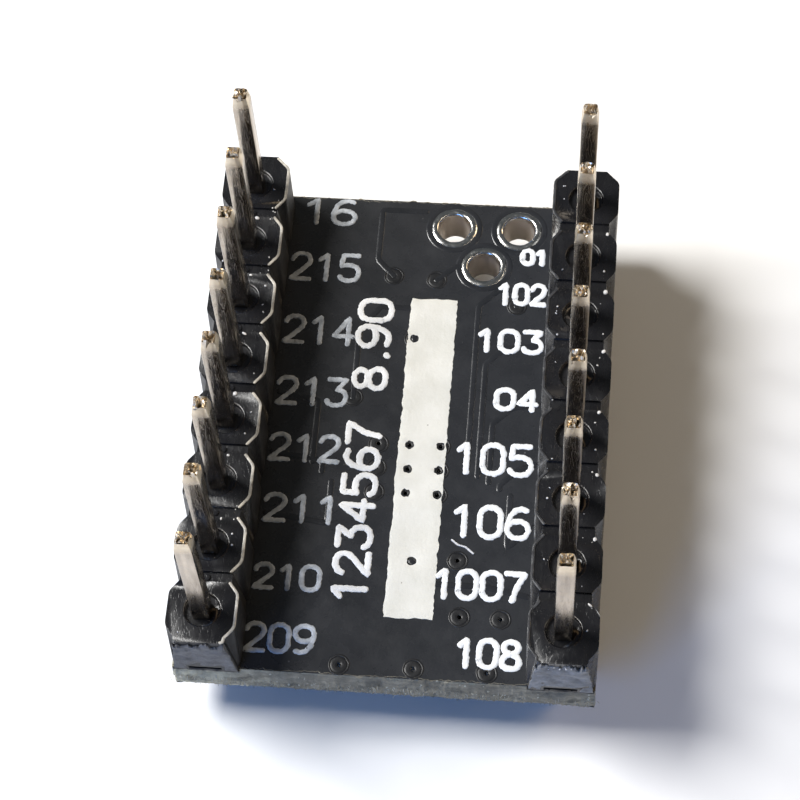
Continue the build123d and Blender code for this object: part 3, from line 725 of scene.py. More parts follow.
def dress(piece: bpy.types.Object, finishes: Sequence[Finish], angle: float = 40.0) -> bpy.types.Object:
    """Give a new piece its finishes and smooth shading, and put it in the scene.

    Args:
        piece: a mesh object.
        finishes: its finishes in material order.
        angle: edges sharper than this stay crisp, in degrees; 0 keeps the mesh's own shading.

    Returns:
        The same object.
    """
    mesh = piece.data
    mesh.materials.clear()
    for finish in finishes:
        mesh.materials.append(finish.material())
    if angle:
        mesh.shade_smooth()
        mesh.set_sharp_from_angle(angle=math.radians(angle))
    bpy.context.scene.collection.objects.link(piece)
    return piece


def settle(piece: bpy.types.Object, body: str = BOARD_BODY,
           nodes: Sequence[str] = ()) -> None:
    """Fix a finished piece to its body and report it.

    Args:
        piece: the object.
        body: the body it moves with.
        nodes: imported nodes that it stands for.
    """
    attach(piece, body)
    if nodes:
        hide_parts(*nodes)
    LOG.info("%s: %d faces on %s", piece.name, len(piece.data.polygons), body)


def merged_copy(node: str, scale: float = 1.0) -> bmesh.types.BMesh:
    """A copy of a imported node's mesh, enlarged by scale, with its doubled vertices joined."""
    made = bmesh.new()
    made.from_mesh(frame["nodes"][node].data)
    if scale != 1.0:
        bmesh.ops.scale(made, vec=(scale,) * 3, verts=made.verts)
    bmesh.ops.remove_doubles(made, verts=made.verts, dist=JOIN_DISTANCE * MM * scale)
    return made


def working_copy(node: str) -> bmesh.types.BMesh:
    """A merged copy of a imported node's mesh, in millimetres, with its flat faces joined."""
    made = merged_copy(node, 1 / MM)
    bmesh.ops.dissolve_degenerate(made, dist=JOIN_DISTANCE, edges=made.edges)
    bmesh.ops.dissolve_limit(
        made, angle_limit=math.radians(1.5), use_dissolve_boundaries=False,
        verts=made.verts, edges=made.edges)
    return made


def baked(made: bmesh.types.BMesh, name: str) -> bpy.types.Mesh:
    """Turn an edited mesh into a mesh of that name."""
    mesh = bpy.data.meshes.new(name)
    made.to_mesh(mesh)
    made.free()
    return mesh


def source_object(mesh: bpy.types.Mesh) -> bpy.types.Object:
    """Put a mesh in the scene for modifiers to work on. plain_mesh takes it out again."""
    source = bpy.data.objects.new(mesh.name, mesh)
    bpy.context.scene.collection.objects.link(source)
    return source


def round_edges(made: bmesh.types.BMesh, wanted: Callable, width: float, segments: int) -> None:
    """Round the sharp edges of a mesh that a test picks.

    Args:
        made: the mesh, in millimetres.
        wanted: says whether an edge is rounded.
        width: width of the rounding.
        segments: faces across the rounding.
    """
    edges = [edge for edge in made.edges
             if len(edge.link_faces) == 2 and edge.calc_face_angle(0.0) >= SHARP_EDGE and wanted(edge)]
    if edges:
        bmesh.ops.bevel(made, geom=edges, offset=width, offset_type="OFFSET", segments=segments,
                        profile=0.5, affect="EDGES", clamp_overlap=True)


def upright(edge: bmesh.types.BMEdge) -> bool:
    """Whether an edge is a long upright outer one."""
    return edge.is_convex and abs(edge.verts[0].co.z - edge.verts[1].co.z) >= 1.5


def softened(node: str, width: float, finish: Finish, segments: int = 2, body: str = BOARD_BODY,
             corners: float = 0.0, clear_of: float = 0.0) -> None:
    """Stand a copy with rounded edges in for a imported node.

    Args:
        node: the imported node.
        width: width of the rounding, in millimetres.
        finish: the copy's finish.
        segments: faces across the rounding.
        body: the body it moves with.
        corners: width of a first rounding of the long upright outer edges, in millimetres.
        clear_of: edges nearer than this to the lengthwise middle stay as they are, in millimetres.
    """
    made = working_copy(node)
    middle = node_middle(node).x

    def clear(edge: bmesh.types.BMEdge) -> bool:
        """Whether an edge is far enough from the middle."""
        return min(abs(vertex.co.x - middle) for vertex in edge.verts) >= clear_of

    if corners:
        round_edges(made, lambda edge: upright(edge) and clear(edge), corners, CORNER_SEGMENTS)
    round_edges(made, clear, width, segments)
    name = node + "_finished"
    mesh = baked(made, name + "_source")
    mesh.shade_smooth()
    mesh.set_sharp_from_angle(angle=math.radians(50.0))
    source = source_object(mesh)
    even = source.modifiers.new("even", "WEIGHTED_NORMAL")
    even.mode = "FACE_AREA"
    even.weight = 50
    even.keep_sharp = True
    settle(dress(bpy.data.objects.new(name, plain_mesh(source, name)), [finish], 0.0), body, [node])


def melted(node: str, finish: Finish, voxel: float = 0.03, rounds: int = 6) -> None:
    """Stand a copy with flowing, rounded surfaces in for a packed solder node.

    Args:
        node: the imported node.
        finish: the copy's finish.
        voxel: size of the remesh, in millimetres.
        rounds: smoothing passes.
    """
    name = node + "_flowed"
    source = source_object(baked(working_copy(node), name + "_source"))
    remesh = source.modifiers.new("remesh", "REMESH")
    remesh.mode = "VOXEL"
    remesh.voxel_size = voxel
    smooth = source.modifiers.new("smooth", "SMOOTH")
    smooth.factor = 0.5
    smooth.iterations = rounds
    settle(dress(bpy.data.objects.new(name, plain_mesh(source, name)), [finish], 80.0), nodes=[node])


def plain_mesh(source: bpy.types.Object, name: str) -> bpy.types.Mesh:
    """Apply an object's modifiers, remove it, and return the mesh brought from millimetres to metres.

    Args:
        source: an object in the scene, in millimetres.
        name: the new mesh's name.

    Returns:
        The mesh in metres.
    """
    bpy.context.view_layer.update()
    graph = bpy.context.evaluated_depsgraph_get()
    mesh = bpy.data.meshes.new_from_object(source.evaluated_get(graph))
    old = source.data
    source.modifiers.clear()
    bpy.data.objects.remove(source)
    bpy.data.meshes.remove(old)
    mesh.name = name
    mesh.transform(Matrix.Scale(MM, 4))
    return mesh


def wavy(point: Sequence[float], scale: float, seed: float = 0.0) -> float:
    """Smooth noise at a place, about -0.5 to 0.5."""
    return noise.noise(Vector(point) * scale + Vector((seed, seed * 0.37, -seed)))


def plate(shell: Shell, outline: Stroke, holes: Sequence[Stroke], low: float, high: float,
          spacing: float, lumps: float, seed: float, mark: int = 0) -> None:
    """Add a thin flat plate with holes and a slightly uneven top.

    Args:
        shell: where it is added.
        outline: the plate's edge, counter-clockwise.
        holes: edges of its holes.
        low: level of the side against the board.
        high: level of the free side.
        spacing: distance between inner points.
        lumps: how uneven the free side is, in millimetres.
        seed: picks the unevenness.
        mark: material number.
    """
    loops = [outline, *holes]
    points = [Vector(p) for loop in loops for p in loop]
    edges, start = [], 0
    for loop in loops:
        count = len(loop)
        edges += [(start + i, start + (i + 1) % count) for i in range(count)]
        start += count
    xs, ys = zip(*outline)
    for x in np.arange(min(xs) + spacing / 2, max(xs), spacing):
        for y in np.arange(min(ys) + spacing / 2, max(ys), spacing):
            if inside((x, y), outline, 0.02) and not any(inside((x, y), hole, -0.02) for hole in holes):
                points.append(Vector((x, y)))
    made, _, triangles, _, _, _ = delaunay_2d_cdt(points, edges, [], 0, 1e-5)
    kept = []
    for triangle in triangles:
        middle = sum((made[corner] for corner in triangle), Vector((0.0, 0.0))) / 3
        if inside(middle, outline, 0.0) and not any(inside(middle, hole, 0.0) for hole in holes):
            kept.append(tuple(triangle))
    directed = {(f[i], f[(i + 1) % 3]) for f in kept for i in range(3)}
    rim = [edge for edge in directed if (edge[1], edge[0]) not in directed]
    count = len(made)
    rim_points = {corner for edge in rim for corner in edge}
    up = 1.0 if high > low else -1.0
    top = []
    for number, p in enumerate(made):
        drop = 0.45 * abs(high - low) if number in rim_points else 0.0
        top.append((p.x, p.y, high - up * drop + up * lumps * wavy((p.x, p.y, 0), 2.3, seed)))
    bottom = [(p.x, p.y, low) for p in made]
    faces = []
    for face in kept:
        upper, lower = face, tuple(count + c for c in reversed(face))
        faces += [upper, lower] if up > 0 else [tuple(reversed(upper)), tuple(reversed(lower))]
    for first, last in rim:
        wall = (first, count + first, count + last, last)
        faces.append(wall if up > 0 else tuple(reversed(wall)))
    shell.add(top + bottom, faces, mark)


def inside(point: Sequence[float], loop: Stroke, margin: float) -> bool:
    """Whether a point lies in a loop, at least margin from its edge (a negative margin reaches past it).

    Args:
        point: a place in the plane.
        loop: corners of the loop.
        margin: distance from the edge.

    Returns:
        True inside.
    """
    x, y = point[0], point[1]
    corners = np.array(loop, float)
    after = np.roll(corners, -1, axis=0)
    crosses = (corners[:, 1] > y) != (after[:, 1] > y)
    with np.errstate(divide="ignore", invalid="ignore"):
        cut = ((after[:, 0] - corners[:, 0]) * (y - corners[:, 1]) / (after[:, 1] - corners[:, 1])
               + corners[:, 0])
    within = bool(np.count_nonzero(crosses & (x < cut)) % 2)
    if not margin:
        return within
    run = after - corners
    share = np.clip(((x - corners[:, 0]) * run[:, 0] + (y - corners[:, 1]) * run[:, 1])
                    / np.maximum((run ** 2).sum(1), 1e-12), 0, 1)
    off = np.hypot(corners[:, 0] + share * run[:, 0] - x, corners[:, 1] + share * run[:, 1] - y).min()
    return (within and off >= margin) if margin > 0 else (within or off <= -margin)


def circle(x: float, y: float, radius: float, count: int, ragged: float = 0.0) -> Stroke:
    """Points round a circle, counter-clockwise, with an uneven radius if ragged is above zero."""
    points = []
    for step in range(count):
        angle = 2 * math.pi * step / count
        reach = radius + ragged * wavy((math.cos(angle), math.sin(angle), x + y), 2.0)
        points.append((x + reach * math.cos(angle), y + reach * math.sin(angle)))
    return points


def walk(corners: Sequence[Flat], spacing: float, least: int) -> Iterator[tuple[float, float, int, int]]:
    """Places round a closed outline.

    Args:
        corners: its corners in order.
        spacing: distance between places, in millimetres.
        least: fewest places on a side.

    Yields:
        x and y, the number of the side, and the number of the place on it.
    """
    for side, (x0, y0) in enumerate(corners):
        x1, y1 = corners[(side + 1) % len(corners)]
        steps = max(least, int(math.hypot(x1 - x0, y1 - y0) / spacing))
        for step in range(steps):
            yield x0 + (x1 - x0) * step / steps, y0 + (y1 - y0) * step / steps, side, step


# ---- geometry node trees ----
class Repeats:
    """Geometry node trees for what repeats or follows a line, each built once."""

    _made: dict[str, bpy.types.NodeTree] = {}

    @classmethod
    def run(cls, tree_name: str, name: str, points: Sequence, edges: Sequence, inputs: dict,
            finish: Finish, level: float = 0.0, facing: Optional[Sequence] = None) -> None:
        """Run a tree on points and edges, and fix its result to the board as a plain piece.

        Args:
            tree_name: strokes, blobs or fibres.
            name: the piece's name.
            points: places in millimetres.
            edges: pairs of point numbers.
            inputs: the tree's inputs by name.
            finish: the finish that it sets.
            level: how far the result is raised, in millimetres.
            facing: a direction for each point, where the tree wants one.
        """
        if tree_name not in cls._made:
            cls._made[tree_name] = getattr(cls, "_" + tree_name)()
        tree = cls._made[tree_name]
        mesh = bpy.data.meshes.new(name + "_guide")
        mesh.from_pydata([tuple(p) for p in points], list(edges), [])
        if facing is not None:
            outward = mesh.attributes.new("outward", "FLOAT_VECTOR", "POINT")
            outward.data.foreach_set("vector", np.array(facing, np.float32).ravel())
        source = source_object(mesh)
        modifier = source.modifiers.new(tree_name, "NODES")
        modifier.node_group = tree
        values = {**inputs, "Material": finish.material()}
        for item in tree.interface.items_tree:
            if item.item_type == "SOCKET" and item.in_out == "INPUT" and item.name in values:
                modifier[item.identifier] = values[item.name]
        piece = dress(bpy.data.objects.new(name, plain_mesh(source, name)), [finish], 60.0)
        piece.data.transform(Matrix.Translation((0.0, 0.0, level * MM)))
        settle(piece)

    @staticmethod
    def _group(name: str, **inputs: str) -> Group:
        """Start a tree that takes geometry, some values and a material."""
        named = {label.replace("_", " "): ending for label, ending in inputs.items()}
        return Group("GeometryNodeTree", name, {"Geometry": "Geometry", **named, "Material": "Material"},
                     ("Geometry", "Geometry"))

    @staticmethod
    def _close(nodes: Group, geometry: Socket) -> bpy.types.NodeTree:
        """Set the given material, and close the tree."""
        return nodes.close(nodes.add("GeometryNodeSetMaterial", {
            "Geometry": geometry, "Material": nodes["Material"]}).outputs[0])

    @staticmethod
    def _random(nodes: Group, least: Value, most: Value, seed: Value) -> Socket:
        """A random value for each point."""
        return nodes.add("FunctionNodeRandomValue", {2: least, 3: most, "Seed": seed},
                         data_type="FLOAT").outputs[1]

    @classmethod
    def _copies(cls, nodes: Group, shape: Socket, turn: Socket, scale: Socket) -> bpy.types.NodeTree:
        """Put a shape on each point, and close the tree."""
        copies = nodes.add("GeometryNodeInstanceOnPoints", {
            "Points": nodes["Geometry"], "Instance": shape, "Rotation": turn, "Scale": scale})
        return cls._close(nodes, nodes.add("GeometryNodeRealizeInstances", {0: copies.outputs[0]}).outputs[0])

    @classmethod
    def _strokes(cls) -> bpy.types.NodeTree:
        """Low rounded strokes along lines, with uneven edges and round ends."""
        nodes = cls._group("low_strokes", Stroke_Width="Float", Stroke_Height="Float", Ragged="Float",
                           Seed="Float", Spacing="Float")
        lines = nodes.add("GeometryNodeMeshToCurve", {0: nodes["Geometry"]})
        fine = nodes.add("GeometryNodeResampleCurve", {
            "Curve": lines.outputs[0], "Length": nodes["Spacing"]}, mode="LENGTH")
        half = nodes.math("MULTIPLY", nodes["Stroke Width"], 0.5)
        ring = nodes.add("GeometryNodeCurvePrimitiveCircle", {
            "Resolution": 10, "Radius": half}, mode="RADIUS")
        body = nodes.add("GeometryNodeCurveToMesh", {
            0: fine.outputs[0], 1: ring.outputs[0], "Fill Caps": True})
        ends = nodes.add("GeometryNodeCurveEndpointSelection")
        ball = nodes.add("GeometryNodeMeshUVSphere", {"Segments": 10, "Rings": 6, "Radius": half})
        caps = nodes.add("GeometryNodeInstanceOnPoints", {
            "Points": fine.outputs[0], "Selection": ends.outputs[0], "Instance": ball.outputs[0]})
        both = nodes.add("GeometryNodeJoinGeometry")
        for part in (body, caps):
            nodes.feed(both.inputs[0], part.outputs[0])
        real = nodes.add("GeometryNodeRealizeInstances", {0: both.outputs[0]})
        place = nodes.add("GeometryNodeInputPosition").outputs[0]
        seeded = nodes.add("ShaderNodeCombineXYZ", {2: nodes["Seed"]}).outputs[0]
        cloud = nodes.add("ShaderNodeTexNoise", {
            "Vector": nodes.vector("ADD", place, seeded), "Scale": 8.0, "Detail": 4.0})
        shift = nodes.vector("SUBTRACT", cloud.outputs["Color"], (0.5, 0.5, 0.5))
        scaled = nodes.add("ShaderNodeVectorMath", {0: shift, "Scale": nodes["Ragged"]}, operation="SCALE")
        moved = [nodes.part(scaled.outputs[0], axis) for axis in range(3)]
        rise = nodes.math("DIVIDE", nodes["Stroke Height"], half)
        level = nodes.math("MULTIPLY", nodes.part(place, 2), nodes.math("MULTIPLY", rise, 1.5))
        low = nodes.math("MULTIPLY", nodes["Stroke Height"], -1.0)
        held = nodes.math("MAXIMUM", nodes.math("MINIMUM", level, nodes["Stroke Height"]), low)
        target = nodes.add("ShaderNodeCombineXYZ", {
            0: nodes.math("ADD", nodes.part(place, 0), moved[0]),
            1: nodes.math("ADD", nodes.part(place, 1), moved[1]),
            2: nodes.math("ADD", held, nodes.math("MULTIPLY", moved[2], 0.12))})
        placed = nodes.add("GeometryNodeSetPosition", {
            "Geometry": real.outputs[0], "Position": target.outputs[0]})
        return cls._close(nodes, placed.outputs[0])

    @classmethod
    def _blobs(cls) -> bpy.types.NodeTree:
        """A small flattened lump at each point, each a little different."""
        nodes = cls._group("small_lumps", Size="Float", Flatness="Float", Spread="Float", Detail="Int",
                           Seed="Int")
        ball = nodes.add("GeometryNodeMeshIcoSphere", {
            "Radius": nodes["Size"], "Subdivisions": nodes["Detail"]})
        least = nodes.math("SUBTRACT", 1.0, nodes["Spread"])
        most = nodes.math("ADD", 1.0, nodes["Spread"])
        wide = cls._random(nodes, least, most, nodes["Seed"])
        deep = cls._random(nodes, least, most, nodes.math("ADD", nodes["Seed"], 7.0))
        shape = nodes.add("ShaderNodeCombineXYZ", {
            0: wide, 1: deep, 2: nodes.math("MULTIPLY", wide, nodes["Flatness"])})
        turn = nodes.add("FunctionNodeRandomValue", {
            0: (0.0, 0.0, 0.0), 1: (0.0, 0.0, 6.28), "Seed": nodes["Seed"]}, data_type="FLOAT_VECTOR")
        return cls._copies(nodes, ball.outputs[0], turn.outputs[0], shape.outputs[0])

    @classmethod
    def _fibres(cls) -> bpy.types.NodeTree:
        """Short pointed fibre ends that stand out from an edge."""
        nodes = cls._group("fibre_ends", Length="Float", Radius="Float", Seed="Int")
        needle = nodes.add("GeometryNodeMeshCone", {
            "Vertices": 5, "Radius Top": 0.3, "Radius Bottom": 1.0, "Depth": 1.0})
        outward = nodes.add("GeometryNodeInputNamedAttribute", {"Name": "outward"}, data_type="FLOAT_VECTOR")
        aimed = nodes.add("FunctionNodeAlignRotationToVector", {"Vector": outward.outputs[0]}, axis="Z")
        least = nodes.math("MULTIPLY", nodes["Length"], 0.35)
        reach = cls._random(nodes, least, nodes["Length"], nodes["Seed"])
        size = nodes.add("ShaderNodeCombineXYZ", {0: nodes["Radius"], 1: nodes["Radius"], 2: reach})
        return cls._copies(nodes, needle.outputs[0], aimed.outputs[0], size.outputs[0])


@dataclass(frozen=True)
class Pen:
    """How low strokes are laid on a face. Lengths are in millimetres."""

    width: float
    height: float
    ragged: float
    seed: float
    spacing: float
    finish: Finish

    def lay(self, name: str, level: float, strokes: Sequence[Stroke], rings: Sequence[Stroke] = ()) -> None:
        """Lay lines as one piece of the board.

        Args:
            name: the piece's name.
            level: the face's level.
            strokes: open lines.
            rings: lines that return to their start.
        """
        points, edges = [], []
        for number, stroke in enumerate((*strokes, *rings)):
            start = len(points)
            points += [(x, y, 0.0) for x, y in stroke]
            edges += [(start + i, start + i + 1) for i in range(len(stroke) - 1)]
            if number >= len(strokes):
                edges.append((start + len(stroke) - 1, start))
        Repeats.run("strokes", name, points, edges, {
            "Stroke Width": self.width, "Stroke Height": self.height, "Ragged": self.ragged,
            "Seed": self.seed, "Spacing": self.spacing}, self.finish, level)


# ---- plain numerals ----
class Numerals:
    """Plain stroke numerals. Each glyph is 0.62 wide and 1 high."""

    WIDTH = 0.62
    GAP = 0.34
    POINT_SHARE = 0.45
    SHAPES: dict[str, list[Stroke]] = {
        "0": [[(0.0, 0.25), (0.0, 0.75), (0.07, 0.91), (0.21, 1.0), (0.41, 1.0), (0.55, 0.91), (0.62, 0.75),
               (0.62, 0.25), (0.55, 0.09), (0.41, 0.0), (0.21, 0.0), (0.07, 0.09), (0.0, 0.25)]],
        "1": [[(0.12, 0.78), (0.36, 1.0), (0.36, 0.0)]],
        "2": [[(0.02, 0.78), (0.09, 0.92), (0.22, 1.0), (0.42, 1.0), (0.56, 0.92), (0.62, 0.76),
               (0.58, 0.60), (0.46, 0.46), (0.0, 0.0), (0.62, 0.0)]],
        "3": [[(0.03, 1.0), (0.60, 1.0), (0.31, 0.60), (0.44, 0.59), (0.57, 0.50), (0.62, 0.35),
               (0.60, 0.17), (0.50, 0.04), (0.36, 0.0), (0.20, 0.0), (0.06, 0.06), (0.0, 0.18)]],
        "4": [[(0.47, 0.0), (0.47, 1.0), (0.0, 0.30), (0.62, 0.30)]],
        "5": [[(0.58, 1.0), (0.07, 1.0), (0.03, 0.56), (0.17, 0.62), (0.38, 0.62), (0.54, 0.54),
               (0.62, 0.38), (0.61, 0.19), (0.52, 0.05), (0.36, 0.0), (0.18, 0.0), (0.05, 0.06),
               (0.0, 0.15)]],
        "6": [[(0.55, 0.95), (0.40, 1.0), (0.22, 0.95), (0.08, 0.76), (0.0, 0.45), (0.0, 0.22), (0.08, 0.07),
               (0.22, 0.0), (0.40, 0.0), (0.54, 0.07), (0.62, 0.22), (0.62, 0.36), (0.54, 0.50),
               (0.40, 0.57), (0.22, 0.57), (0.08, 0.50), (0.0, 0.38)]],
        "7": [[(0.0, 1.0), (0.62, 1.0), (0.34, 0.48), (0.22, 0.0)]],
        "8": [[(0.31, 0.55), (0.14, 0.60), (0.05, 0.72), (0.06, 0.87), (0.18, 0.98), (0.31, 1.0),
               (0.44, 0.98), (0.56, 0.87), (0.57, 0.72), (0.48, 0.60), (0.31, 0.55), (0.10, 0.47),
               (0.0, 0.31), (0.02, 0.12), (0.15, 0.01), (0.31, 0.0), (0.47, 0.01), (0.60, 0.12),
               (0.62, 0.31), (0.52, 0.47), (0.31, 0.55)]],
        ".": [[(0.20, 0.0), (0.24, 0.04)]],
    }

    @classmethod
    def strokes(cls, glyph: str) -> list[Stroke]:
        """Lines of one glyph. A nine is a six turned round."""
        if glyph == "9":
            return [[(cls.WIDTH - x, 1.0 - y) for x, y in stroke] for stroke in cls.SHAPES["6"]]
        return cls.SHAPES[glyph]

    @classmethod
    def line(cls, text: str, left: float, right: float, foot: float, top: float) -> list[Stroke]:
        """Strokes of a number that fills a box.

        Args:
            text: digits and points.
            left: left side of the box.
            right: right side of the box.
            foot: bottom of the box.
            top: top of the box.

        Returns:
            Lines in the plane.
        """
        shares = [cls.POINT_SHARE if glyph == "." else 1.0 for glyph in text]
        whole = sum(shares) * cls.WIDTH + cls.GAP * cls.WIDTH * (len(text) - 1)
        scale = (right - left) / whole
        strokes, x = [], left
        for glyph, share in zip(text, shares):
            for stroke in cls.strokes(glyph):
                strokes.append([(x + px * scale, foot + py * (top - foot)) for px, py in stroke])
            x += (share + cls.GAP) * cls.WIDTH * scale
        return strokes


# ---- markings of the board ----
@dataclass
class BoardMarkings:
    """Legend ink on both faces of the board."""

    stroke_width: float = 0.23
    ink_height: float = 0.022
    ragged: float = 0.10
    block_left: float = -0.17
    block_right: float = 1.62
    block_foot: float = -7.72
    block_top: float = 5.62
    block_thickness: float = 0.03
    block_hole_radius: float = 0.17
    upright_left: float = -2.2
    upright_right: float = -0.78
    under_stroke: float = 0.11
    under_height: float = 0.62
    right_labels: tuple = (
        ("01", 3.90, 5.06, 7.33, 8.14), ("102", 3.05, 5.06, 5.50, 6.57), ("103", 2.36, 5.06, 3.38, 4.50),
        ("04", 3.26, 5.00, 0.90, 1.95), ("105", 1.86, 4.94, -1.84, -0.42), ("106", 1.94, 4.98, -4.42, -3.00),
        ("1007", 1.46, 4.98, -6.90, -5.62), ("108", 2.45, 4.94, -9.54, -8.28))
    left_labels: tuple = (
        ("16", -4.80, -2.58, 8.76, 10.02), ("215", -5.06, -2.22, 6.18, 7.52),
        ("214", -5.04, -2.20, 3.36, 4.70),
        ("213", -5.05, -2.22, 0.70, 2.00), ("212", -5.08, -2.30, -1.68, -0.44),
        ("211", -5.02, -2.10, -4.20, -2.95), ("210", -5.10, -2.52, -6.92, -5.80),
        ("209", -5.18, -2.50, -9.38, -8.15))
    upright_labels: tuple = (("1234567", -7.26, 0.20), ("8.90", 1.48, 5.56))

    def build(self) -> None:
        """Make every marking."""
        self._labels("right_pin_numbers", self.right_labels, self.stroke_width, 0.9, INK)
        # The left numbers take darker, cooler ink: wear plus painted shade from the left header.
        self._labels("left_pin_numbers", self.left_labels, self.stroke_width * 0.86, 5.1, WORN_INK_WITH_SHADE)
        self._upright()
        self._block()
        self._underside()
        self._lint()

    def _ink(self, name: str, strokes: Sequence[Stroke], width: float, level: float, seed: float,
             finish: Finish = INK) -> None:
        """Lay strokes of ink at a level."""
        Pen(width, self.ink_height, self.ragged * width / 0.2, seed, 0.05, finish).lay(name, level, strokes)

    def _labels(self, name: str, labels: Sequence[tuple], width: float, seed: float, finish: Finish) -> None:
        """Numbers beside one row of pins."""
        strokes = []
        inset = width / 2
        for text, left, right, foot, top in labels:
            strokes += Numerals.line(text, left + inset, right - inset, foot + inset, top - inset)
        self._ink(name, strokes, width, LEVELS.pin_face, seed, finish)

    def _upright(self) -> None:
        """The two numbers that read up the middle of the board."""
        inset = self.stroke_width / 2
        strokes = []
        for text, first, last in self.upright_labels:
            flat = Numerals.line(text, first + inset, last - inset, 0.0, 1.0)
            span = self.upright_right - self.upright_left - 2 * inset
            strokes += [[(self.upright_right - inset - y * span, x) for x, y in stroke] for stroke in flat]
        self._ink("upright_numbers", strokes, self.stroke_width * 1.05, LEVELS.pin_face, 11.3)

    def _block(self) -> None:
        """The solid ink block, with slightly ragged edges and a hole at each via."""
        holes = []
        for x, y in VIA_PLACES:
            if self.block_left < x < self.block_right and self.block_foot < y < self.block_top:
                holes.append(circle(x, y, self.block_hole_radius, 14, 0.05))
        corners = [(self.block_left, self.block_foot), (self.block_right, self.block_foot),
                   (self.block_right, self.block_top), (self.block_left, self.block_top)]
        outline = []
        for x, y, _, _ in walk(corners, 0.09, 4):
            jog = 0.055 * wavy((x, y, 0), 3.1, 4.0) + 0.03 * wavy((x, y, 0), 11.0, 9.0)
            outline.append((x + jog, y + 0.055 * wavy((x, y, 3), 3.1, 1.0)))
        shell = Shell()
        plate(shell, outline, holes, LEVELS.pin_face - 0.002, LEVELS.pin_face + self.block_thickness,
              0.22, 0.012, 2.0)
        settle(shell.piece("writing_block", [BLOCK_INK], 35.0))

    def _lint(self) -> None:
        """A short pale fibre that lies on the mask."""
        path = [(2.10, -4.52), (2.32, -4.70), (2.62, -4.78), (2.92, -5.02)]
        Pen(0.075, 0.03, 0.02, 2.0, 0.05, PALE_FLECK_AND_HIGHLIGHT).lay("lint_fibre", LEVELS.pin_face + 0.02, [path])

    def _underside(self) -> None:
        """Part outlines and pin numbers on the component face, which read from below."""
        strokes: list[Stroke] = []
        for node, margin in (("driver_chip_body", 0.28), ("trimmer_base", 0.2)):
            low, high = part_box(node)
            strokes += corner_marks(low.x / MM - margin, high.x / MM + margin,
                                    low.y / MM - margin, high.y / MM + margin, 0.8)
        for node in ("sense_resistor_1_end_caps", "sense_resistor_2_end_caps",
                     "bulk_capacitor_1_end_caps", "bulk_capacitor_2_end_caps"):
            low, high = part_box(node)
            for y in (low.y / MM - 0.14, high.y / MM + 0.14):
                strokes.append([(low.x / MM + 0.65, y), (high.x / MM - 0.65, y)])
        for side in (-1, 1):
            for place, y in enumerate(LEVELS.pin_y):
                text = str(place + 1 if side > 0 else 16 - place)
                wide = 0.30 * len(text)
                middle = side * (LEVELS.row_x - 1.22)
                number = Numerals.line(text, -wide, wide, -self.under_height / 2, self.under_height / 2)
                strokes += [[(middle - px, y + py) for px, py in stroke] for stroke in number]
        self._ink("component_face_legend", strokes, self.under_stroke, LEVELS.component_face, 21.0)


def corner_marks(left: float, right: float, foot: float, top: float, reach: float) -> list[Stroke]:
    """An angle mark at each corner of a box.

    Args:
        left: left side.
        right: right side.
        foot: near side.
        top: far side.
        reach: length of each arm.

    Returns:
        Four open lines.
    """
    marks = []
    for x, inward in ((left, 1), (right, -1)):
        for y, up in ((foot, 1), (top, -1)):
            marks.append([(x + inward * reach, y), (x, y), (x, y + up * reach)])
    return marks


def solid_middles(*nodes: str) -> list[Flat]:
    """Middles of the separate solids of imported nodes, in millimetres and in a fixed order."""
    middles = []
    for node in nodes:
        made = merged_copy(node)
        left = set(made.verts)
        found = []
        while left:
            group, edge = set(), {left.pop()}
            while edge:
                vertex = edge.pop()
                group.add(vertex)
                linked = {link.other_vert(vertex) for link in vertex.link_edges} & left
                left -= linked
                edge |= linked
            places = np.array([vertex.co for vertex in group], float) / MM
            found.append((Vector(places.min(0)), Vector(places.max(0))))
        made.free()
        found.sort(key=lambda pair: (round(pair[0].x, 3), round(pair[0].y, 3)))
        middles += [((low.x + high.x) / 2, (low.y + high.y) / 2) for low, high in found]
    return middles


VIA_PLACES = solid_middles("signal_vias") + solid_middles("thermal_vias")
PROBE_PLACES = solid_middles("board_probe_holes")


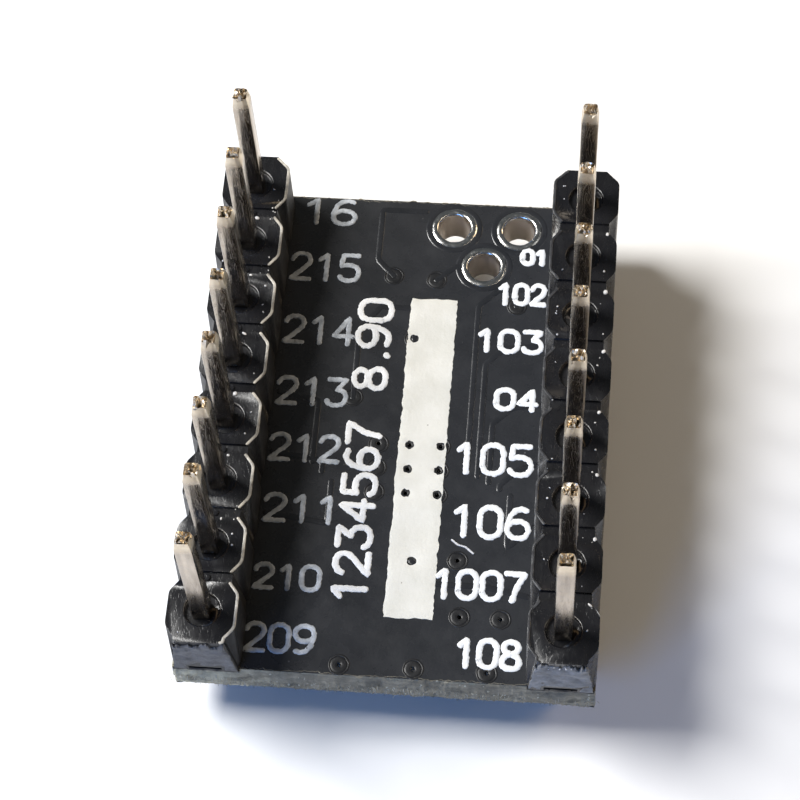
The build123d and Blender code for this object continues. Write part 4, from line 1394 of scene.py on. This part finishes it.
# ---- the board's own surface ----
@dataclass
class BoardSurface:
    """Copper relief under the mask, tented vias and the broken edge."""

    trace_width: float = 0.24
    trace_height: float = 0.014
    tent_line: float = 0.2
    tent_width: float = 0.24
    rim_line: float = 0.36
    rim_width: float = 0.08
    tent_height: float = 0.01
    edge_spacing: float = 0.0789
    core_inset: float = 0.13
    side_inset: float = 0.04
    web_proud: float = 0.05
    score_depth: float = 0.45
    score_slope: float = 0.15
    fibre_count: int = 620
    fibre_length: float = 0.15
    fibre_radius: float = 0.013

    def build(self) -> None:
        """Make the surface pieces."""
        self._core()
        self._traces()
        self._tents()
        self._edge()
        self._fibres()

    def _core(self) -> None:
        """The board with its edge set back to the score line, under the broken edge, and a dark sheet of
        painted shade under each header's near end.
        """
        made = merged_copy("circuit_board")
        width, length = LEVELS.half_width * MM, LEVELS.half_length * MM
        for vertex in made.verts:
            if abs(vertex.co.x) > width - 0.00001:
                vertex.co.x -= math.copysign(self.side_inset * MM, vertex.co.x)
            if abs(vertex.co.y) > length - 0.00001:
                vertex.co.y -= math.copysign(self.core_inset * MM, vertex.co.y)
        piece = dress(bpy.data.objects.new("board_core", baked(made, "board_core")), [MASK], 0.0)
        settle(piece, nodes=["circuit_board"])
        # A dark sheet under each header's near end, where the end slot looks into the board edge: painted
        # shade.
        shell = Shell()
        end = -LEVELS.half_length
        for side in (-1, 1):
            near = [(side * LEVELS.row_x - 1.2 + 0.1 * step, end + 0.02 + 0.03 * wavy((step, side, 0), 0.7))
                    for step in range(25)]
            outline = near + [(near[-1][0], end + 0.3), (near[0][0], end + 0.3)]
            plate(shell, outline, (), LEVELS.pin_face - 0.12, LEVELS.pin_face + 0.012, 0.1, 0.0, 1.0)
        settle(shell.piece("painted_shade_under_header_ends", [TENT_AND_SHADE], 30.0))

    def _traces(self) -> None:
        """Tracks that lift the mask slightly, on both faces."""
        row = LEVELS.row_x
        strokes: list[Stroke] = []
        for step in range(5):
            x = 2.45 + 0.42 * step
            y = LEVELS.pin_y[1 + step]
            strokes.append([(x, -1.6 - 0.25 * step), (x, y - 0.9), (x + 0.7, y - 0.2), (row - 1.4, y)])
        for step in range(3):
            x = -2.55 - 0.40 * step
            y = LEVELS.pin_y[5 - step]
            strokes.append([(x, -2.4 + 0.4 * step), (x, y - 0.3), (-row + 1.5, y)])
        strokes += [
            [(0.68, -5.45), (1.5, -6.3), (3.4, -6.3), (row - 1.4, LEVELS.pin_y[6] - 0.25)],
            [(-0.93, 6.6), (-1.6, 7.3), (-1.6, 9.6), (0.1, 9.6)],
            [(0.75, 6.5), (1.5, 7.2)],
            [(3.9, 5.5), (4.4, 6.0), (row - 1.4, 6.2)],
            [(-2.05, 1.18), (-2.05, 4.2), (-1.3, 5.2), (0.08, 5.2), (0.08, 3.85)],
        ]
        rims = [circle(*place, 0.99, 40) for place in PROBE_PLACES]
        pen = Pen(self.trace_width, self.trace_height, 0.012, 3.0, 0.15, RAISED_MASK)
        pen.lay("pin_face_tracks", LEVELS.pin_face, strokes, rims)
        under = [
            [(x, -LEVELS.half_length + 0.7), (x, -LEVELS.half_length + 1.0), (x + 0.5, -8.2)]
            for x in (-4.6, -3.4, 2.4, 3.6)]
        under += [[(side * 5.35, y + 0.55), (side * 4.9, y + 1.0), (side * 4.9, y + 1.9)]
                  for side in (-1, 1) for y in LEVELS.pin_y[2:7]]
        replace(pen, seed=6.0).lay("component_face_tracks", LEVELS.component_face, under)

    def _tents(self) -> None:
        """A low rim of mask round each via, on both faces."""
        for kind, radius, width in (("tents", self.tent_line, self.tent_width),
                                    ("rims", self.rim_line, self.rim_width)):
            rings = [circle(x, y, radius, 24, 0.03) for x, y in VIA_PLACES]
            pen = Pen(width, self.tent_height, 0.03, radius, 0.07, TENT_AND_SHADE)
            pen.lay("pin_face_via_" + kind, LEVELS.pin_face, (), rings)
            pen.lay("component_face_via_" + kind, LEVELS.component_face, (), rings)

    def _edge(self) -> None:
        """The snapped and scored edge all round: two sloped score walls and a torn web between them."""
        thick = LEVELS.pin_face - LEVELS.component_face
        slope, web = self.score_slope, self.web_proud
        half = [(-0.005, -slope), (0.03, -slope + 0.03), (0.2, -slope * 0.5), (self.score_depth - 0.04, 0.0),
                (self.score_depth + 0.05, web * 0.7), (thick * 0.42, web)]
        profile = half + [(thick * 0.5, web * 1.05)] + [(thick - depth, out) for depth, out in reversed(half)]
        rings = []
        for x, y, out_x, out_y in self._outline():
            side = abs(out_x) and not out_y
            ring = []
            for step, (depth, out) in enumerate(profile):
                place = (x, y, depth * 2.2)
                torn = 4 <= step <= 8
                amount = (0.06 * wavy(place, 1.3, 2.0) + 0.10 * wavy(place, 5.5, 7.0)
                          + 0.08 * wavy(place, 14.0, 3.0))
                off = out + (1.0 if torn else 0.75) * amount
                if torn:
                    off -= 0.10 * max(0.0, wavy((x, y, 5.0), 0.8, 6.0) * 2.0)
                if side:
                    off = 0.2 * off - 0.02
                ring.append((x + out_x * (0.2 * off - 0.02), y + out_y * off, LEVELS.pin_face - depth))
            for depth in (thick - 0.05, 0.05):
                ring.append((x - out_x * 0.25, y - out_y * 0.3, LEVELS.pin_face - depth))
            rings.append(ring)
        shell = Shell()
        shell.tube([list(reversed(ring)) for ring in rings], closed=True)
        settle(shell.piece("board_broken_edge", [LAMINATE], 55.0))

    def _outline(self) -> list[tuple[float, float, float, float]]:
        """Places round the board's edge with the outward direction at each, counter-clockwise."""
        wide, long = LEVELS.half_width, LEVELS.half_length
        outward = [(1, 0), (0, 1), (-1, 0), (0, -1)]
        path = []
        corners = [(wide, -long), (wide, long), (-wide, long), (-wide, -long)]
        for x, y, side, step in walk(corners, self.edge_spacing, 2):
            out_x, out_y = outward[side]
            if step == 0:
                out_x, out_y = out_x + outward[side - 1][0], out_y + outward[side - 1][1]
            path.append((x, y, out_x, out_y))
        return path

    def _fibres(self) -> None:
        """Loose fibre ends along the broken web."""
        generator = np.random.default_rng(41)
        ends = [place for place in self._outline() if place[3]]
        points, facing = [], []
        for _ in range(self.fibre_count):
            x, y, out_x, out_y = ends[generator.integers(len(ends))]
            depth = generator.uniform(0.45, 1.15)
            points.append((x + out_x * 0.06, y + out_y * 0.06, LEVELS.pin_face - depth))
            facing.append((out_x + generator.normal(0, 0.5), out_y + generator.normal(0, 0.5),
                           generator.normal(0, 0.45)))
        Repeats.run("fibres", "edge_fibre_ends", points, [], {
            "Length": self.fibre_length, "Radius": self.fibre_radius, "Seed": 5}, FIBRE, facing=facing)


@dataclass
class ProbeHoles:
    """The three open plated holes at one end of the board."""

    bore: float = 0.6
    ring: float = 0.89
    ring_rise: float = 0.05
    segments: int = 72

    def build(self) -> None:
        """Turn each ring and barrel as one smooth tinned sleeve."""
        shell = Shell()
        for number, (x, y) in enumerate(PROBE_PLACES):
            shell.tube(self._sleeve(x, y, number), closed=True)
        piece = shell.piece("tinned_probe_holes", [BARREL], 60.0)
        settle(piece, nodes=["board_probe_holes"])

    def _sleeve(self, x: float, y: float, number: int) -> list[list[tuple[float, float, float]]]:
        """Rings of points round one hole, each a closed section of its wall."""
        top, low = LEVELS.pin_face, LEVELS.component_face
        rise = self.ring_rise
        section = [
            (self.bore, top - 0.22), (self.bore, top - 0.1), (self.bore + 0.015, top - 0.03),
            (self.bore + 0.05, top + rise * 0.6), (self.bore + 0.11, top + rise),
            (self.ring - 0.1, top + rise * 0.95), (self.ring - 0.03, top + rise * 0.6),
            (self.ring, top + 0.004), (self.ring - 0.02, top - 0.02), (self.bore + 0.03, top - 0.05),
            (self.bore + 0.03, low + 0.05), (self.ring - 0.02, low + 0.02), (self.ring, low - 0.004),
            (self.ring - 0.03, low - rise * 0.6), (self.ring - 0.1, low - rise * 0.95),
            (self.bore + 0.11, low - rise), (self.bore + 0.05, low - rise * 0.6),
            (self.bore + 0.015, low + 0.03), (self.bore, low + 0.1), (self.bore, low + 0.22),
            (self.bore, (low + top) / 2 - 0.2), (self.bore, (low + top) / 2 + 0.2),
        ]
        rings = []
        for step in range(self.segments):
            angle = 2 * math.pi * step / self.segments
            ring = []
            for radius, level in section:
                place = (math.cos(angle) * 2, math.sin(angle) * 2, level * 1.4 + number * 9)
                reach = radius + 0.012 * wavy(place, 1.6, 2.0)
                swell = 0.02 * wavy(place, 1.1, 5.0) * (1 if level > top else 0)
                ring.append((x + reach * math.cos(angle), y + reach * math.sin(angle), level + swell))
            rings.append(ring)
        return rings


# ---- pin headers ----
class Side(Enum):
    """The two rows of pins."""

    LEFT = -1
    RIGHT = 1


@dataclass
class PinHeader:
    """One row: its moulded strip, its pins and its solder joints."""

    side: Side
    edge_round: float = 0.08
    pin_half: float = 0.32
    pin_flat: float = 0.075
    tip_length: float = 0.72
    tip_half: float = 0.2
    crown: tuple = ((1.0, 0.24, 0.06), (1.12, 0.16, 0.2), (1.0, 0.06, 0.38), (0.74, 0.0, 0.46),
                    (0.45, 0.04, 0.42), (0.2, 0.07, 0.36))
    tail_length: float = 0.35
    tail_half: float = 0.24
    lean: float = 0.05
    break_depth: float = 0.10
    channel_half: float = 0.68
    channel_rise: float = 0.38
    corner_round: float = 0.2
    well_clear: float = 0.85
    gate_shift: Flat = (0.22, -0.28)
    chip_shift: float = 0.88
    lip_width: float = 0.11
    lip_inset: float = 0.045
    crumb_count: int = 26
    joint_height: float = 0.95
    pad_radius: float = 0.70
    seed: int = field(init=False)

    def __post_init__(self) -> None:
        """Each row has its own fixed unevenness."""
        self.seed = 17 + 5 * self.side.value

    @property
    def prefix(self) -> str:
        """The row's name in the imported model."""
        return self.side.name.lower() + "_header"

    @property
    def x(self) -> float:
        """Where the row runs."""
        return self.side.value * LEVELS.row_x

    def build(self) -> None:
        """Make the row."""
        finish = MOULDING if self.side is Side.LEFT else SMOOTH_MOULDING
        softened(self.prefix + "_body", self.edge_round, finish, segments=CORNER_SEGMENTS,
                 corners=self.corner_round, clear_of=self.well_clear)
        self._lip()
        self._broken_end()
        self._gates()
        self._crumbs()
        for place, y in enumerate(LEVELS.pin_y):
            self._pin(place + 1, y)
        self._joints()

    def _lip(self) -> None:
        """A thin raised lip along the top edge that faces the board's middle; on the left row it is pale, a
        painted highlight.
        """
        made = working_copy(self.prefix + "_body")
        round_edges(made, upright, self.corner_round, CORNER_SEGMENTS)
        strokes = []
        for edge in made.edges:
            first, last = (v.co for v in edge.verts)
            if min(first.z, last.z) < LEVELS.header_top - 0.001 or len(edge.link_faces) != 2:
                continue
            walls = [face.normal for face in edge.link_faces if abs(face.normal.z) < 0.5]
            middle = (first + last) / 2 - Vector((self.x, 0.0, 0.0))
            inward = -self.side.value * middle.x
            if len(walls) != 1 or inward < 0.75 or -self.side.value * walls[0].x < 0.2:
                continue
            back = Vector((walls[0].x, walls[0].y, 0.0)).normalized() * self.lip_inset
            strokes.append([tuple((corner - back).xy) for corner in (first, last)])
        made.free()
        # Left row: pale painted highlight; right row: a dark moulding colour.
        finish = HIGHLIGHT_LIP if self.side is Side.LEFT else DARK_LIP
        pen = Pen(self.lip_width, 0.035, 0.035, float(self.seed), 0.07, finish)
        pen.lay(self.prefix + "_lip", LEVELS.header_top - 0.008, strokes)

    def _broken_end(self) -> None:
        """The near end, snapped from a longer strip: a rough plate with a torn ridge along its top."""
        y = -LEVELS.half_length
        top, foot = LEVELS.header_top - 0.2, LEVELS.header_foot + 0.01
        channel, rise = self.channel_half, self.channel_rise
        half_top, half_foot = 0.92, 1.15
        outline: Stroke = []
        corners = [(-half_foot, foot), (-channel, foot), (-channel, foot + rise), (channel, foot + rise),
                   (channel, foot), (half_foot, foot), (half_top, top), (-half_top, top)]
        for x, z, number, _ in walk(corners, 0.07, 1):
            if number == 6:
                z += 0.30 * wavy((x, 0, self.seed), 2.6, 3.0) + 0.26 * wavy((x, 0, 0), 9.0, self.seed)
            elif number in (5, 7):
                x += 0.05 * wavy((x, 0, z), 4.0, self.seed)
            outline.append((x, z))
        flat = Shell()
        plate(flat, outline, (), 0.0, self.break_depth, 0.075, 0.11, float(self.seed))
        shell = Shell()
        span = top - foot
        turned = []
        for px, level, depth in flat.points:
            share = min(1.0, max(0.0, (level - foot) / span))
            turned.append((self.x + px, y + 0.02 - depth * (0.3 + 0.9 * share ** 2), level))
        shell.add(turned, flat.faces)
        # The right row's end takes the lighter copy: painted light in place of the key light it doesn't get.
        finish = BROKEN_MOULDING if self.side is Side.LEFT else BRIGHTENED_BREAK
        settle(shell.piece(self.prefix + "_broken_end", [finish], 30.0))

    def _gates(self) -> None:
        """A gate mark on each bridge between two positions, coloured pale as a painted highlight; on the
        right row it sits at the outer top edge.
        """
        pitch = LEVELS.pin_y[0] - LEVELS.pin_y[1]
        across, along = self.gate_shift
        if self.side is Side.RIGHT:
            across = self.chip_shift
        points = [(self.x + across + 0.03 * (number % 3), y - pitch / 2 + along, LEVELS.header_top + 0.01)
                  for number, y in enumerate(LEVELS.pin_y[:-1])]
        Repeats.run("blobs", self.prefix + "_gate_marks", points, [], {
            "Size": 0.075, "Flatness": 0.45, "Spread": 0.6, "Detail": 2, "Seed": self.seed}, PALE_FLECK_AND_HIGHLIGHT)

    def _crumbs(self) -> None:
        """Tiny pale lumps on the strip's top near its edges, and on the right row along the snapped end's
        top.
        """
        generator = np.random.default_rng(self.seed)
        points = []
        for _ in range(self.crumb_count):
            y = generator.uniform(-LEVELS.half_length + 0.3, LEVELS.half_length - 0.5)
            sideways = generator.choice([-1, 1]) * generator.uniform(0.72, 0.9)
            points.append((self.x + sideways, y, LEVELS.header_top + 0.004))
        if self.side is Side.RIGHT:
            points += [(self.x - 0.85 + 0.2 * step, -LEVELS.half_length - 0.06,
                        LEVELS.header_top - 0.28 + 0.3 * wavy((step, 0, 0), 0.9, 2.0)) for step in range(8)]
        Repeats.run("blobs", self.prefix + "_crumbs", points, [], {
            "Size": 0.035, "Flatness": 0.6, "Spread": 0.6, "Detail": 1, "Seed": self.seed + 3}, PALE_FLECK_AND_HIGHLIGHT)

    def _section(self, half: float) -> list[Flat]:
        """A square wire's section with small rounded corners."""
        flat = self.pin_flat * half / self.pin_half
        inner = half - flat
        points = []
        for quarter in range(4):
            turn = math.pi / 2 * quarter
            places = []
            for share in (0.0, 0.5, 1.0):
                angle = share * math.pi / 2
                places.append((inner + flat * math.cos(angle), inner + flat * math.sin(angle)))
            places += [(inner / 3, half), (-inner / 3, half)]
            for px, py in places:
                points.append((px * math.cos(turn) - py * math.sin(turn),
                               px * math.sin(turn) + py * math.cos(turn)))
        return points

    def _pin(self, place: int, y: float) -> None:
        """One pin: drawn wire with a pressed tip whose end is torn where it was cut off."""
        seed = self.seed * 3.1 + place * 1.7
        end = LEVELS.contact_end
        shank = end - self.tip_length
        levels = [(0.0, self.tail_half * 0.92), (0.04, self.tail_half), (self.tail_length, self.pin_half)]
        steps = 26
        levels += [(self.tail_length + (shank - self.tail_length) * step / steps, self.pin_half)
                   for step in range(1, steps)]
        levels += [(shank, self.pin_half), (shank + 0.06, self.pin_half * 0.985)]
        for share in (0.2, 0.4, 0.6, 0.75):
            levels.append((shank + self.tip_length * share,
                           self.pin_half + (self.tip_half - self.pin_half) * share ** 1.25))
        lean_x = self.lean * wavy((place, 1, 0), 1.3, seed)
        lean_y = self.lean * wavy((place, 4, 0), 1.7, seed)
        rings = []
        for level, half in levels:
            rise = max(0.0, level - LEVELS.header_top) / (end - LEVELS.header_top)
            ring = []
            for px, py in self._section(half):
                near_tip = max(0.0, 1 - (end - level) / 0.3)
                rough = 0.006 + 0.035 * near_tip
                swell = 1 + rough * 2 * wavy((px * 3, py * 3, level * 1.5), 2.0, seed) / max(half, 0.1) * 0.3
                ring.append((self.x + px * swell + lean_x * rise, y + py * swell + lean_y * rise, level))
            rings.append(ring)
        for reach, below, swing in self.crown:
            ring = []
            for px, py in self._section(self.tip_half):
                lobe = wavy((px * reach, py * reach, below), 7.0, seed)
                tear = wavy((px * reach, py * reach, 2.0), 15.0, seed)
                level = min(end, end - below - swing * abs(lobe + 0.4 * tear) * 2)
                round_off = 1 - 0.12 * (math.hypot(px, py) / self.tip_half - 1.0) * 2
                grown = reach * round_off * (1 + 0.8 * lobe + 0.5 * tear)
                ring.append((self.x + px * grown + lean_x, y + py * grown + lean_y, level))
            rings.append(ring)
        shell = Shell()
        shell.tube(rings)
        name = "{}_pin_{}".format(self.prefix, place)
        settle(shell.piece(name + "_drawn", [PIN], 32.0), nodes=[name])

    def _joints(self) -> None:
        """Solder joints of the row: concave cones round the tails, none quite alike."""
        land = LEVELS.component_face - 0.035
        shell = Shell()
        for place, y in enumerate(LEVELS.pin_y):
            seed = self.seed * 1.9 + place * 2.3
            fill = 1.0 + 0.5 * wavy((place, 2, 2), 1.1, seed)
            tall = self.joint_height * (0.95 + 0.12 * wavy((place, 7, 1), 1.9, seed))
            rings = []
            for share in (0.0, 0.03, 0.1, 0.22, 0.36, 0.52, 0.68, 0.84, 0.95, 1.0):
                fade = (1 - share) ** 1.7
                radius = self.pad_radius * fade + (0.39 + 0.05 * fill) * (1 - fade)
                radius += 0.05 * fill * math.sin(math.pi * share)
                if share == 1.0:
                    radius = 0.30
                ring = []
                for step in range(36):
                    angle = 2 * math.pi * step / 36
                    place_now = (math.cos(angle), math.sin(angle), share * 1.4)
                    reach = radius * (1 + 0.07 * wavy(place_now, 1.2, seed))
                    sag = 0.05 * wavy(place_now, 1.6, seed + 3) * share
                    ring.append((self.x + reach * math.cos(angle), y + reach * math.sin(angle),
                                 land - tall * share + sag))
                rings.append(ring)
            first = [(px, py, LEVELS.component_face + 0.02) for px, py, _ in rings[0]]
            shell.tube([list(reversed(ring)) for ring in [first] + rings])
        settle(shell.piece(self.prefix + "_joints", [SOLDER], 70.0),
               nodes=[self.prefix + "_solder"])


# ---- parts on the component face ----
def print_number(name: str, node: str, text: str, half: Flat, pen: Pen) -> None:
    """Print a number on the free face of a part, to be read from below.

    Args:
        name: the piece's name.
        node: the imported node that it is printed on.
        text: the number.
        half: half its width and height, in millimetres.
        pen: how its strokes are laid.
    """
    middle = node_middle(node)
    flat = Numerals.line(text, -half[0], half[0], -half[1], half[1])
    strokes = [[(middle.x - px, middle.y + py) for px, py in stroke] for stroke in flat]
    pen.lay(name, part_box(node)[0].z / MM, strokes)


@dataclass
class DriverChip:
    """The driver chip with its etched marks."""

    edge_round: float = 0.05
    mark_stroke: float = 0.07

    def build(self) -> None:
        """Round the moulding, flow the solder and mark the face."""
        softened("driver_chip_body", self.edge_round, CHIP)
        melted("driver_chip_solder", SOLDER, voxel=0.02, rounds=3)
        print_number("driver_chip_mark", "driver_chip_body", "0123", (1.1, 0.35),
                     Pen(self.mark_stroke, 0.004, 0.01, 8.0, 0.06, CHIP_MARK))


@dataclass
class Trimmer:
    """The trimmer: ceramic base, and the rotor that turns on the shaft."""

    base_round: float = 0.035
    rotor_round: float = 0.03

    def build(self) -> None:
        """Round the base and rotor, and flow the solder."""
        softened("trimmer_base", self.base_round, ALUMINA)
        softened("trimmer_rotor", self.rotor_round, ROTOR, body=ROTOR_BODY)
        melted("trimmer_solder", SOLDER, voxel=0.02, rounds=4)


@dataclass
class PassiveParts:
    """Chip resistors and capacitors."""

    body_round: float = 0.03
    cap_round: float = 0.045
    code_stroke: float = 0.09

    def build(self) -> None:
        """Round the bodies and end caps, flow the solder and print the resistors' codes."""
        for number in (1, 2):
            softened("sense_resistor_{}_body".format(number), self.body_round, RESISTOR_CERAMIC)
            softened("sense_resistor_{}_end_caps".format(number), self.cap_round, END_CAP)
            softened("bulk_capacitor_{}_body".format(number), self.cap_round, TAN_CERAMIC)
            softened("bulk_capacitor_{}_end_caps".format(number), self.cap_round, END_CAP)
            print_number("sense_resistor_{}_code".format(number), "sense_resistor_{}_element".format(number),
                         "110", (0.75, 0.4), Pen(self.code_stroke, 0.006, 0.01, 8.0, 0.06, INK))
        for kind, finish in (("capacitor", TAN_CERAMIC), ("resistor", RESISTOR_CERAMIC)):
            softened("small_{}_bodies".format(kind), self.body_round, finish)
            softened("small_{}_end_caps".format(kind), self.body_round, END_CAP)
        melted("component_solder", SOLDER, voxel=0.025, rounds=6)


# ---- studio ----
@dataclass
class Studio:
    """Floor, lights and camera."""

    floor_half: float = 0.35
    lens: float = 109.67
    eye: Colour = (0.00639, -0.041648, 0.084438)
    ahead: Colour = (-0.0722, 0.4646, -0.8826)
    upward: Colour = (-0.0517, 0.8819, 0.4685)

    def build(self) -> None:
        """Set out the studio."""
        self._floor()
        self._light("key_light", (-0.155, 0.04, 0.19), (0.12, 0.08), 0.95, (1.0, 0.99, 0.97))
        self._light("warm_light", (0.20, 0.12, 0.12), (0.11, 0.11), 0.195, (1.0, 0.76, 0.48))
        self._light("cool_light", (-0.12, -0.20, 0.12), (0.10, 0.10), 0.245, (0.19, 0.42, 1.0))
        self._sky()
        self._camera()

    def _floor(self) -> None:
        """A plain pale table under the module."""
        shell = Shell()
        half = self.floor_half / MM
        steps = 8
        points = [(-half + 2 * half * i / steps, -half + 2 * half * j / steps, 0.0)
                  for j in range(steps + 1) for i in range(steps + 1)]
        row = steps + 1
        faces = [(j * row + i, j * row + i + 1, (j + 1) * row + i + 1, (j + 1) * row + i)
                 for j in range(steps) for i in range(steps)]
        shell.add(points, faces)
        shell.piece("table", [TABLE])

    def _light(self, name: str, place: Colour, size: Flat, power: float, colour: Colour) -> None:
        """A soft light that faces the module.

        Args:
            name: the light's name.
            place: where it hangs, in metres.
            size: its width and height, in metres.
            power: its power, in watts.
            colour: its colour.
        """
        data = bpy.data.lights.new(name, "AREA")
        data.shape = "RECTANGLE"
        data.size, data.size_y = size
        data.energy = power
        data.color = colour
        lamp = bpy.data.objects.new(name, data)
        lamp.location = place
        towards = Vector((0.0, 0.0, 0.003)) - Vector(place)
        lamp.rotation_euler = towards.to_track_quat("-Z", "Y").to_euler()
        bpy.context.scene.collection.objects.link(lamp)

    def _sky(self) -> None:
        """Even, soft light from all round."""
        world = bpy.data.worlds.new("soft_room")
        world.use_nodes = True
        nodes = Nodes(world.node_tree)
        glow = nodes.add("ShaderNodeBackground", {"Color": (0.84, 0.93, 1.0), "Strength": 0.103})
        nodes.add("ShaderNodeOutputWorld", {"Surface": glow.outputs[0]})
        bpy.context.scene.world = world
        bpy.context.scene.view_settings.view_transform = "Standard"

    def _camera(self) -> None:
        """The camera, above the near end and looking down along the rows."""
        data = bpy.data.cameras.new("camera")
        data.sensor_width = 36.0
        data.lens = self.lens
        data.clip_start = 0.005
        data.clip_end = 5.0
        back = -Vector(self.ahead).normalized()
        right = Vector(self.upward).cross(back).normalized()
        up = back.cross(right)
        camera = bpy.data.objects.new("camera", data)
        camera.matrix_world = Matrix.Translation(self.eye) @ Matrix((right, up, back)).transposed().to_4x4()
        bpy.context.scene.collection.objects.link(camera)
        bpy.context.scene.camera = camera


def dress_nodes() -> None:
    """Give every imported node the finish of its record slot."""
    for part in frame["record"]["subparts"]:
        finish = NODE_FINISHES[part["material_slot"]]
        mesh = frame["nodes"][part["node"]].data
        mesh.materials.clear()
        mesh.materials.append(finish.material())


def main() -> None:
    """Build the module's looks, sub-assembly by sub-assembly."""
    logging.basicConfig(level=logging.INFO, format="%(name)s: %(message)s", stream=sys.stdout)
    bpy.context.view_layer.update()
    dress_nodes()
    for builder in (
        BoardSurface(), BoardMarkings(), ProbeHoles(), PinHeader(Side.LEFT), PinHeader(Side.RIGHT),
        DriverChip(), Trimmer(), PassiveParts(), Studio(),
    ):
        LOG.info("building %s", type(builder).__name__)
        builder.build()


if __name__ == "__main__":
    main()
